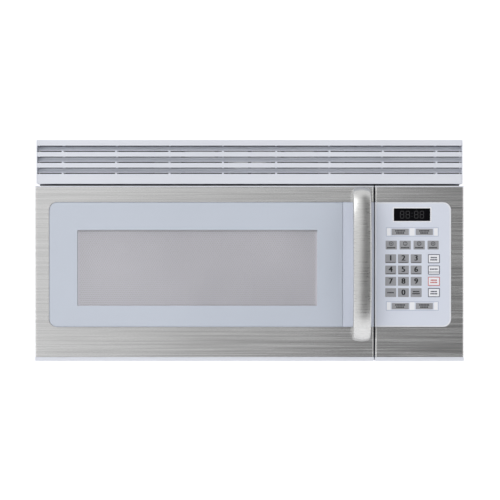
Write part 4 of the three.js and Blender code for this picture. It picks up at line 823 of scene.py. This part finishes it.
class OVEN_OT_panel_shell(bpy.types.Operator):
    """Build the control panel: white shell, steel skin, pale membrane and display"""
    bl_idname = "oven.panel_shell"
    bl_label = "Control panel"

    def execute(self, context):
        rounded_copy("control_housing", 0.0005)
        rounded_copy("control_skin", 0.00012, sharp=40)
        sizes = context.scene.oven_window
        gap = 0.0004
        membrane = fitted_plate("keypad_overlay", [0, sizes.corner, sizes.corner, 0], sizes.edge,
                                [rounded(*front_of(*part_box("display_lens"), gap), 0.0006, 2)])
        piece("keypad_membrane", membrane, "panel_white", replaces=("keypad_overlay",))
        lens = fitted_plate("display_lens", 0.0005, 0.0003, steps=2)
        piece("display_window", lens, "display_black", replaces=("display_lens",))
        return {"FINISHED"}


# ---- Prints on the control panel ----
# Middles of the keypad's groups, in millimetres right of the oven's middle and above the door's lower edge
NUMBERS, SIDE = (272.3, 151.0), (326.2, 151.0)
MARKS = (287.8, 205.1)
UPPER, LOWER = (288.0, 228.4), (288.0, 97.1)

MARK_PITCH, WIDE_PITCH = 0.0247, 0.0426
INKS = {"black": "ink_black", "navy": "ink_navy", "red": "ink_red", "frame": "ink_line", "white": "key_white"}
PROUD, SUNK = 0.00005, 0.0001  # how far a print stands out of what carries it, and reaches into it


def at(x, z):
    """A place on the front, from millimetres right of the middle and above the door's lower edge."""
    return x * MM, BASE + z * MM


def outlined(x0, x1, z0, z1, line, corner=0.0008):
    """The two outlines of a thin printed frame."""
    return [rounded(x0, x1, z0, z1, corner, 3),
            rounded(x0 + line, x1 - line, z0 + line, z1 - line, max(corner - line, 0.0001), 3)]


def seven_segments(x, z, wide, tall, line):
    """Outlines of an unlit digit's seven bars."""
    half, gap = line / 2, line * 0.14
    left, right, low, high = x - wide / 2, x + wide / 2, z - tall / 2, z + tall / 2
    ends = [((left, level), (right, level)) for level in (low, z, high)]
    ends += [((side, a), (side, b)) for side in (left, right) for a, b in ((low, z), (z, high))]
    bars = []
    for start, end in ends:
        along = (Vector(end) - Vector(start)).normalized()
        a, b = Vector(start) + gap * along, Vector(end) - gap * along
        slant = half * along
        across = half * along.orthogonal()
        bars.append([a, a + slant + across, b - slant + across, b, b - slant - across, a + slant - across])
    return bars


class OVEN_OT_display(bpy.types.Operator):
    """Print the display's unlit digits"""
    bl_idname = "oven.display"
    bl_label = "Display digits"

    def execute(self, context):
        low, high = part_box("display_lens")
        middle, level = (low.x + high.x) / 2, (low.z + high.z) / 2
        bars = []
        for dx in (-0.0175, -0.0075, 0.0075, 0.0175):
            bars += seven_segments(middle + dx, level, 0.0062, 0.0122, 0.0012)
        bars += [circle(middle, level + dz, 0.0007, 12) for dz in (-0.0028, 0.0028)]
        piece("display_digits", plate(bars, low.y - PROUD, low.y + 2 * SUNK), "dark_segment")
        return {"FINISHED"}


class Prints:
    """Marks in several inks, on the keys and on the membrane round them."""

    def __init__(self, front, key_face):
        self.front = front
        self.key_face = key_face
        self.inks = {ink: [] for ink in INKS}

    def on_key(self, ink, *outlines):
        """A flat mark on a key's face."""
        self.inks[ink].append(plate(outlines, self.key_face - PROUD, self.key_face + SUNK))

    def on_panel(self, ink, *outlines):
        """A flat mark on the membrane."""
        self.inks[ink].append(plate(outlines, self.front - SUNK, self.front + SUNK))

    def digit(self, mark, x, z, sizes):
        """A digit on a number key."""
        self.inks["black"].append(writing(
            mark, x, z, sizes.digit, sizes.digit_weight, self.key_face - PROUD, self.key_face + SUNK))

    def dashes(self, x, z, wide, tall, count=5, ink="black"):
        """A row of short dashes, as fine print reads from afar."""
        step = wide / count
        starts = [x - wide / 2 + step * i for i in range(count)]
        self.on_key(ink, *[rounded(start, start + step * 0.82, z - tall / 2, z + tall / 2, 0.0002, 2)
                           for start in starts])


def add_keys(sizes, front):
    """The embossed keys, in groups of like ones."""
    def grid(graph, entry):
        return upright_grid(graph, (entry["Columns"], entry["Rows"]),
                            (entry["Column Pitch"], entry["Row Pitch"]), entry["Middle"])

    rise, rows_apart, wide = sizes.raise_by, sizes.row_pitch, (0.0304, 0.011)
    for name, middle, (columns, rows), pitch, (width, height) in (
            ("number_keys", NUMBERS, (3, 4), sizes.column_pitch, (sizes.key_width, sizes.key_height)),
            ("mark_keys", MARKS, (4, 1), MARK_PITCH, (0.0198, 0.0154)),
            ("side_keys", SIDE, (1, 4), sizes.column_pitch, (0.0204, 0.0152)),
            ("upper_keys", UPPER, (2, 1), WIDE_PITCH, wide),
            ("lower_keys", LOWER, (2, 1), WIDE_PITCH, wide)):
        pale = name == "side_keys"
        finish_name, slot = ("key_white", "inset_white") if pale else ("key_grey", "grey_plastic")
        x, z = at(*middle)
        key = plate([rounded(-width / 2, width / 2, -height / 2, height / 2, sizes.corner, 3)],
                    -rise, SUNK, rise * 0.3)
        keys = repeated(name, key, finish_name, {
            "Columns": columns, "Rows": rows, "Column Pitch": pitch, "Row Pitch": rows_apart,
            "Middle": (x, front, z)}, grid)
        piece(name, keys, finish_name)


def print_numbers(prints, sizes):
    """The digits 0 to 9, dashes under the first six, and dashes on the keys beside the nought."""
    middle_x, middle_z = at(*NUMBERS)
    for row in range(4):
        for column in range(3):
            x = middle_x + (column - 1) * sizes.column_pitch
            z = middle_z + (1.5 - row) * sizes.row_pitch
            if row < 3 or column == 1:
                mark = "0" if row == 3 else str(row * 3 + column + 1)
                prints.digit(mark, x, z + (0.0009 if row < 2 else 0), sizes)
            else:
                prints.dashes(x, z + (0.0018 if column else 0), 0.0118, 0.0022)
                if column:
                    prints.dashes(x, z - 0.0018, 0.013, 0.0022, 6)
            if row < 2:
                prints.dashes(x, z - 0.0066, 0.0165, 0.0012, 8)


def print_marks(prints):
    """A ring on each key of the row of marks, with one to four dots in it and dashes under it."""
    middle_x, level = at(*MARKS)
    centre = level + 0.0026
    for i in range(4):
        x = middle_x + (i - 1.5) * MARK_PITCH
        prints.on_key("black", circle(x, centre, 0.0038), circle(x, centre, 0.0029))
        reach, dot = (0.0013, 0.0007) if i else (0.0, 0.0011)
        turns = [math.tau * k / (i + 1) + math.pi / 2 for k in range(i + 1)]
        prints.on_key("black", *[circle(x + reach * math.cos(a), centre + reach * math.sin(a), dot, 12)
                                 for a in turns])
        prints.dashes(x, level - 0.0047, 0.0145, 0.0022, 6)


def print_side_keys(prints, sizes):
    """A frame on each side key, with dashes and in one a bar."""
    x, middle_z = at(*SIDE)
    w, h, line = 0.0104, 0.0078, 0.0011
    for i in range(4):
        level = middle_z + (1.5 - i) * sizes.row_pitch
        ink = "red" if i == 2 else "navy"
        prints.on_key(ink, *outlined(x - w, x + w, level - h, level + h, line))
        if i == 1:
            prints.on_key(ink, rounded(x - w + line, x + w - line, level - 0.0041, level - 0.003, 0.0001, 1))
            prints.dashes(x, level + 0.0016, 0.014, 0.0022, ink=ink)
        else:
            prints.dashes(x, level + 0.002, 0.0115, 0.0023, ink=ink)
            prints.dashes(x, level - 0.002, 0.0125, 0.0023, ink=ink)


def print_strips(prints):
    """The framed strips above and below the number keys, with white fields beside their keys."""
    line, inset = 0.0006, 0.0012
    for low_mm, high_mm in ((220.4, 236.3), (89.2, 105.3)):
        left, bottom = at(241.6, low_mm)
        right, top = at(334.5, high_mm)
        prints.on_panel("frame", *outlined(left, right, bottom, top, line, line))
        fields = [(a * MM, b * MM) for a, b in ((243.0, 249.6), (283.8, 292.0), (326.6, 333.0))]
        prints.on_panel("white", *[rounded(a, b, bottom + inset, top - inset, 0.0002, 2) for a, b in fields])
        for x in (266.7 * MM, 309.3 * MM):
            level = (bottom + top) / 2
            prints.dashes(x, level + 0.0019, 0.018, 0.0023, 7)
            prints.dashes(x, level - 0.0019, 0.0145, 0.0023, 5)


def print_rims_and_edge_highlights(prints):
    """A white rim along the membrane's edge and round the display: partly their pale plastic edges, partly a
    painted highlight where those edges catch the light.
    """
    low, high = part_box("keypad_overlay")
    rim = 0.002
    # The white line round the membrane is partly a painted highlight of its edge.
    prints.on_panel("white", rounded(*front_of(low, high, -0.0003), [0, 0.0137, 0.0137, 0]),
                    rounded(low.x + rim + 0.0004, high.x - rim, low.z + rim, high.z - rim,
                            [0, 0.0126, 0.0126, 0]))
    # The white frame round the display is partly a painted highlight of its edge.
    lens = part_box("display_lens")
    prints.on_panel("white", rounded(*front_of(*lens, 0.0024), 0.001, 3),
                    rounded(*front_of(*lens, 0.0004), 0.0006, 2))


class OVEN_OT_keypad(bpy.types.Operator):
    """Print the keypad: number keys, side keys, round marks and frames"""
    bl_idname = "oven.keypad"
    bl_label = "Keypad"

    def execute(self, context):
        sizes = context.scene.oven_keypad
        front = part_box("keypad_overlay")[0].y
        add_keys(sizes, front)
        prints = Prints(front, front - sizes.raise_by)
        print_numbers(prints, sizes)
        print_marks(prints)
        print_side_keys(prints, sizes)
        print_strips(prints)
        print_rims_and_edge_highlights(prints)
        for ink, parts in prints.inks.items():
            piece(ink + "_prints", joined(parts), INKS[ink])
        return {"FINISHED"}


# ---- Cabinet and what it holds ----
class OVEN_OT_cabinet(bpy.types.Operator):
    """Finish the cabinet's sheets and set their screws"""
    bl_idname = "oven.cabinet"
    bl_label = "Cabinet"

    def execute(self, context):
        coat("case_wrap", "back_plate", "base_plate", "front_plate", "front_header", "hinge_bracket_bottom",
             "hinge_bracket_top", "lamp_housing")
        coat("charcoal_filter", finish_name="charcoal")

        # A screw's head has a cross cut through its dome, with a disc at the bottom of the cut.
        radius, arm, half = 0.0038, 0.0021, 0.0005
        quarter = [(-half, -half), (-half, -arm), (half, -arm)]
        cross = []
        for _ in range(4):
            cross += quarter
            quarter = [(-y, x) for x, y in quarter]
        head = joined([plate([circle(0, 0, radius, 16), cross], -0.0001, 0.0012, 0.0002),
                       plate([circle(0, 0, radius * 0.9, 12)], 0.0008, 0.0013)])
        head.transform(Matrix.Rotation(math.pi, 4, "Z"))

        low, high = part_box("case_wrap")
        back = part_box("back_plate")[1].y
        start_x, spacing, count = low.x + 0.04, (0.113, 0.0, 0.0), 7
        rows = [in_row(name, head.copy(), "zinc_steel", count, spacing, (start_x, back, z)) for name, z in (
            ("back_screws_top", high.z - 0.012), ("back_screws_base", low.z + 0.034))]
        head.free()
        piece("cabinet_screws", joined(rows), "zinc_steel")
        return {"FINISHED"}


class OVEN_OT_cavity(bpy.types.Operator):
    """Finish the cavity, its mica cover and its lamp"""
    bl_idname = "oven.cavity"
    bl_label = "Oven cavity"

    def execute(self, context):
        coat("oven_cavity", "cavity_side", "waveguide_cover", "oven_lamp")
        return {"FINISHED"}


class OVEN_OT_turntable(bpy.types.Operator):
    """Build the turntable: glass tray on six lugs, roller ring, rollers and coupler"""
    bl_idname = "oven.turntable"
    bl_label = "Turntable"

    def execute(self, context):
        low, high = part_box("glass_tray")
        centre = Vector(((low.x + high.x) / 2, (low.y + high.y) / 2, 0))
        radius = (high.x - low.x) / 2
        base, top, wall, core = high.z - 0.012, high.z, 0.004, 0.0005
        under = bezier((radius - 0.022, base), (radius - 0.008, base), (radius - 0.004, base + 0.004),
                       (radius, top), 9)
        over = bezier((radius - 0.0034, top), (radius - 0.0078, base + wall + 0.004),
                      (radius - 0.012, base + wall), (radius - 0.024, base + wall), 9)
        dish = turned([(core, base)] + under + over + [(core, base + wall)], centre, sides=96)

        # The small hole left in the middle is drawn together to a point above and below.
        close = {v for v in dish.verts if (v.co.xy - centre.xy).length < 2 * core}
        rings = [[v for v in close if abs(v.co.z - level) < 0.0001] for level in (base, base + wall)]
        inner = [face for face in dish.faces if all(v in close for v in face.verts)]
        bmesh.ops.delete(dish, geom=inner, context="FACES_ONLY")
        for ring in rings:
            bmesh.ops.pointmerge(dish, verts=ring, merge_co=Vector((centre.x, centre.y, ring[0].co.z)))
        bmesh.ops.delete(dish, geom=[edge for edge in dish.edges if not edge.link_faces], context="EDGES")

        parts = [dish]
        lug_top = base + 0.001
        for i in range(6):
            angle = math.pi / 6 + i * math.pi / 3 + (-0.15 if i % 2 else 0.15)
            spot = centre + 0.011 * Vector((math.cos(angle), math.sin(angle), 0))
            lug = bmesh.new()
            bmesh.ops.create_cone(
                lug, cap_ends=True, segments=16, radius1=0.0018, radius2=0.0024, depth=lug_top - low.z,
                matrix=Matrix.Translation((spot.x, spot.y, (low.z + lug_top) / 2)))
            parts.append(lug)
        piece("turntable_dish", joined(parts), "glass", "tray", replaces=("glass_tray",))
        rounded_copy("roller_ring", 0.0004)
        for i in (1, 2, 3):
            rounded_copy(f"roller_{i}", 0.0002)
        rounded_copy("turntable_coupler", 0.0004)
        coat("turntable_motor")
        return {"FINISHED"}


class OVEN_OT_latch(bpy.types.Operator):
    """Build the door latch: bar, spring, bracket and switches"""
    bl_idname = "oven.latch"
    bl_label = "Latch"

    def execute(self, context):
        coat("latch_bracket", "primary_switch", "secondary_switch", "monitor_switch")
        rounded_copy("latch_bar", 0.0003)
        low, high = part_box("latch_spring")
        centre = Vector(((low.x + high.x) / 2, (low.y + high.y) / 2, 0))
        wire, turns, steps_a_turn, closed_share = 0.0004, 6, 24, 0.06
        radius = (high.x - low.x) / 2 - wire
        steps = turns * steps_a_turn
        section = [(wire * math.cos(math.tau * i / 8), wire * math.sin(math.tau * i / 8)) for i in range(8)]

        def station(step):
            """The wire's place: flat turns at both ends and a steady rise between them."""
            share = step / steps
            level = min(max((share - closed_share) / (1 - 2 * closed_share), 0), 1)
            z = low.z + wire + (high.z - low.z - 2 * wire) * level
            angle = math.tau * turns * share
            out = Vector((math.cos(angle), math.sin(angle), 0))
            return lambda p: centre + out * (radius + p[0]) + Vector((0, 0, z + p[1]))

        coil = swept(section, [station(step) for step in range(steps + 1)])
        spring = piece("latch_coil", coil, "zinc_steel", "door", replaces=("latch_spring",))
        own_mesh(spring)
        return {"FINISHED"}


class OVEN_OT_glazing(bpy.types.Operator):
    """Build the parts behind the door's face: choke, its cover, the inner glass and the hinge bushes"""
    bl_idname = "oven.glazing"
    bl_label = "Door inside"

    def execute(self, context):
        coat("choke_pan", "hinge_bush_bottom", "hinge_bush_top")
        rounded_copy("choke_cover", 0.0004)
        rounded_copy("inner_glass", 0.0004, "glass")
        return {"FINISHED"}


class OVEN_OT_filters(bpy.types.Operator):
    """Build the two grease filters with their woven mesh, and the lamp cover"""
    bl_idname = "oven.filters"
    bl_label = "Grease filters and lamp cover"

    def execute(self, context):
        pitch, half, rim = 0.004, 0.0005, 0.009
        for side in ("left", "right"):
            node = "grease_filter_" + side
            rounded_copy(node, 0.0002)
            low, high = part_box(node)
            spans = [(low[axis] + rim, high[axis] - rim) for axis in (0, 1)]
            level = low.z + 0.0011
            woven = []
            for way, (start, end) in enumerate(spans):
                # Strands along X (way 0) lie a little higher than those along Y (way 1).
                under, over = ((0.0003, 0.0004), (0.0004, 0.0003))[way]
                corners = [(start, -half, level - under), (end, half, level + over)]
                strand = block(*[(corner[way], corner[1 - way], corner[2]) for corner in corners])
                first, last = spans[1 - way]
                count = int((last - first) / pitch) - 1
                begin = first + (last - first - (count - 1) * pitch) / 2
                across = Vector((way, 1 - way, 0))
                woven.append(in_row(f"{side}_strands_{way}", strand, "filter_aluminium", count,
                                    tuple(pitch * across), tuple(begin * across)))
            piece(f"{side}_filter_mesh", joined(woven), "filter_aluminium", f"{side}_filter")
        rounded_copy("lamp_cover", 0.0003, "frosted_glass")
        coat("cooktop_lamp")
        return {"FINISHED"}


class OVEN_OT_blower(bpy.types.Operator):
    """Finish the blower's housings, motor and shaft, and its bladed wheels"""
    bl_idname = "oven.blower"
    bl_label = "Vent blower"

    def execute(self, context):
        coat("blower_housing_left", "blower_housing_right", "blower_motor", "blower_shaft")
        for node in ("blower_wheel_left", "blower_wheel_right"):
            rounded_copy(node, 0)
        return {"FINISHED"}


class OVEN_OT_machinery(bpy.types.Operator):
    """Finish the magnetron, transformer, capacitor, cooling fan, waveguide and circuit board"""
    bl_idname = "oven.machinery"
    bl_label = "Machinery"

    def execute(self, context):
        coat("magnetron", "transformer", "capacitor", "waveguide", "cooling_fan_shroud", "cooling_fan_motor",
             "control_board")
        rounded_copy("cooling_fan_blade", 0.0002)
        return {"FINISHED"}


# ---- Studio ----
class OVEN_OT_studio(bpy.types.Operator):
    """Set up the pale floor, the white backdrop, the soft lamps and the camera"""
    bl_idname = "oven.studio"
    bl_label = "Studio"

    def execute(self, context):
        sizes = context.scene.oven_studio
        context.scene.view_settings.view_transform = "Standard"
        self.sweep(sizes)
        self.world(context.scene)
        self.lamp("key_lamp", (-1.9, -2.6, 2.1), (0, -0.3, 0), (2.2, 1.6), sizes.key_power)
        self.lamp("fill_lamp", (2.4, -2.2, 0.6), (0.1, -0.3, 0), (1.6, 1.6), sizes.fill_power)
        self.camera(context.scene, sizes)
        return {"FINISHED"}

    def sweep(self, sizes):
        """A floor that bends up into a backdrop, white to the camera and seen through from behind."""
        low, high = CAD_BOX
        floor_z, far = low[2] - sizes.floor_drop, high[1] + sizes.backdrop
        front_y, bend, half_width, height = -1.2, 0.8, 6.0, 6.0
        profile = [(front_y, floor_z), (far - bend, floor_z)]
        for a in range(10, 90, 10):
            turn = math.radians(a)
            profile.append((far - bend + bend * math.sin(turn), floor_z + bend - bend * math.cos(turn)))
        profile += [(far, floor_z + bend), (far, floor_z + height)]
        bm = bmesh.new()
        sides = [[bm.verts.new((x, y, z)) for y, z in profile] for x in (-half_width, half_width)]
        for i in range(len(profile) - 1):
            bm.faces.new((sides[0][i], sides[1][i], sides[1][i + 1], sides[0][i + 1]))
        sheet = held("studio_sweep", to_mesh(bm, "studio_sweep"))

        paper = finish("studio_paper", srgb(238, 238, 240), 0.9, tone=0.01, depth=0)
        graph = Graph(paper.node_tree)
        nodes = paper.node_tree.nodes
        path = graph.add("ShaderNodeLightPath").outputs
        seen = graph.maths("ADD", graph.maths("ADD", path["Is Camera Ray"], path["Is Glossy Ray"]),
                           path["Is Transmission Ray"])
        glow = 0.45
        white = graph.add("ShaderNodeEmission", {"Color": (1, 1, 1, 1), "Strength": graph.maths(
            "MULTIPLY", graph.maths("MINIMUM", seen, 1.0), glow)})
        added = graph.add("ShaderNodeAddShader", {0: nodes["Principled BSDF"].outputs[0], 1: white})
        one_sided = graph.add("ShaderNodeMixShader", {
            0: graph.add("ShaderNodeNewGeometry").outputs["Backfacing"], 1: added,
            2: graph.add("ShaderNodeBsdfTransparent")})
        graph.feed(nodes["Material Output"].inputs["Surface"], one_sided)
        sheet.data.materials.append(paper)

    def world(self, scene):
        """White all round, with a soft dark flag to the front and right, which shades the steel."""
        scene.world = bpy.data.worlds.new("studio")
        scene.world.use_nodes = True
        graph = Graph(scene.world.node_tree)
        sky = scene.world.node_tree.nodes["Background"].inputs
        toward = graph.add("ShaderNodeTexCoord").outputs["Generated"]
        x, y, z = graph.add("ShaderNodeSeparateXYZ", {0: toward}).outputs
        # Its left edge is soft and leans. It fades out far to the right, beside the oven, and high and low.
        half_height, lean, darkest = 0.12, 0.07, 0.16
        tilt = graph.ranged(z, -half_height, half_height, lean, -lean)
        flag = graph.ranged(graph.maths("ADD", x, tilt), -0.1, 0.12, 0.0, 1.0)
        flag.interpolation_type = "SMOOTHSTEP"
        for value, fading, gone in (
                (x, 0.5, 0.7), (y, -0.6, -0.4), (graph.maths("ABSOLUTE", z), 0.93, 1.0)):
            flag = graph.maths("MULTIPLY", flag, graph.ranged(value, fading, gone, 1.0, 0.0))
        graph.feed(sky["Strength"], graph.ranged(flag, 0.0, 1.0, 1.0, darkest))
        sky["Color"].default_value = (1, 1, 1, 1)

    def lamp(self, name, place, aim, size, power):
        """A soft lamp at a place, turned towards another."""
        light = bpy.data.lights.new(name, "AREA")
        light.shape = "RECTANGLE"
        light.size, light.size_y = size
        light.energy = power
        holder = held(name, light)
        holder.location = place
        holder.rotation_euler = (Vector(aim) - Vector(place)).to_track_quat("-Z", "Y").to_euler()

    def camera(self, scene, sizes):
        """The camera, level and square to the front, a little off the oven's middle."""
        aside, above = 0.00088, 0.0004
        camera = bpy.data.cameras.new("front_camera")
        camera.lens = sizes.lens
        camera.sensor_width = 36
        camera.clip_end = 50
        scene.camera = held("front_camera", camera)
        scene.camera.location = (aside, FACE - sizes.camera_distance, above)
        scene.camera.rotation_euler = (math.pi / 2, 0, 0)


BUILDERS = (
    OVEN_OT_cabinet, OVEN_OT_cavity, OVEN_OT_turntable, OVEN_OT_machinery, OVEN_OT_blower, OVEN_OT_filters,
    OVEN_OT_grille, OVEN_OT_door, OVEN_OT_glazing, OVEN_OT_window, OVEN_OT_handle, OVEN_OT_latch,
    OVEN_OT_panel_shell, OVEN_OT_display, OVEN_OT_keypad, OVEN_OT_studio)


class OVEN_PT_parts(bpy.types.Panel):
    """List the sizes and the pieces of the oven"""
    bl_idname = "OVEN_PT_parts"
    bl_label = "Oven"
    bl_space_type = "VIEW_3D"
    bl_region_type = "UI"
    bl_category = "Oven"

    def draw(self, context):
        for group in GROUPS:
            box = self.layout.box()
            box.label(text=group.replace("_", " ").title())
            settings = getattr(context.scene, group)
            for key in settings.__annotations__:
                box.prop(settings, key)
        column = self.layout.column(align=True)
        for builder in BUILDERS:
            column.operator(builder.bl_idname)


def register():
    for item in (*GROUPS.values(), *BUILDERS, OVEN_PT_parts):
        bpy.utils.register_class(item)
    for name, group in GROUPS.items():
        setattr(bpy.types.Scene, name, PointerProperty(type=group))


def unregister():
    for name in GROUPS:
        delattr(bpy.types.Scene, name)
    for item in (OVEN_PT_parts, *reversed(BUILDERS), *reversed(GROUPS.values())):
        bpy.utils.unregister_class(item)


def main():
    register()
    for builder in BUILDERS:
        group, name = builder.bl_idname.split(".")
        if getattr(getattr(bpy.ops, group), name)() != {"FINISHED"}:
            raise RuntimeError(builder.bl_label + " wasn't built")


if __name__ == "__main__":
    main()
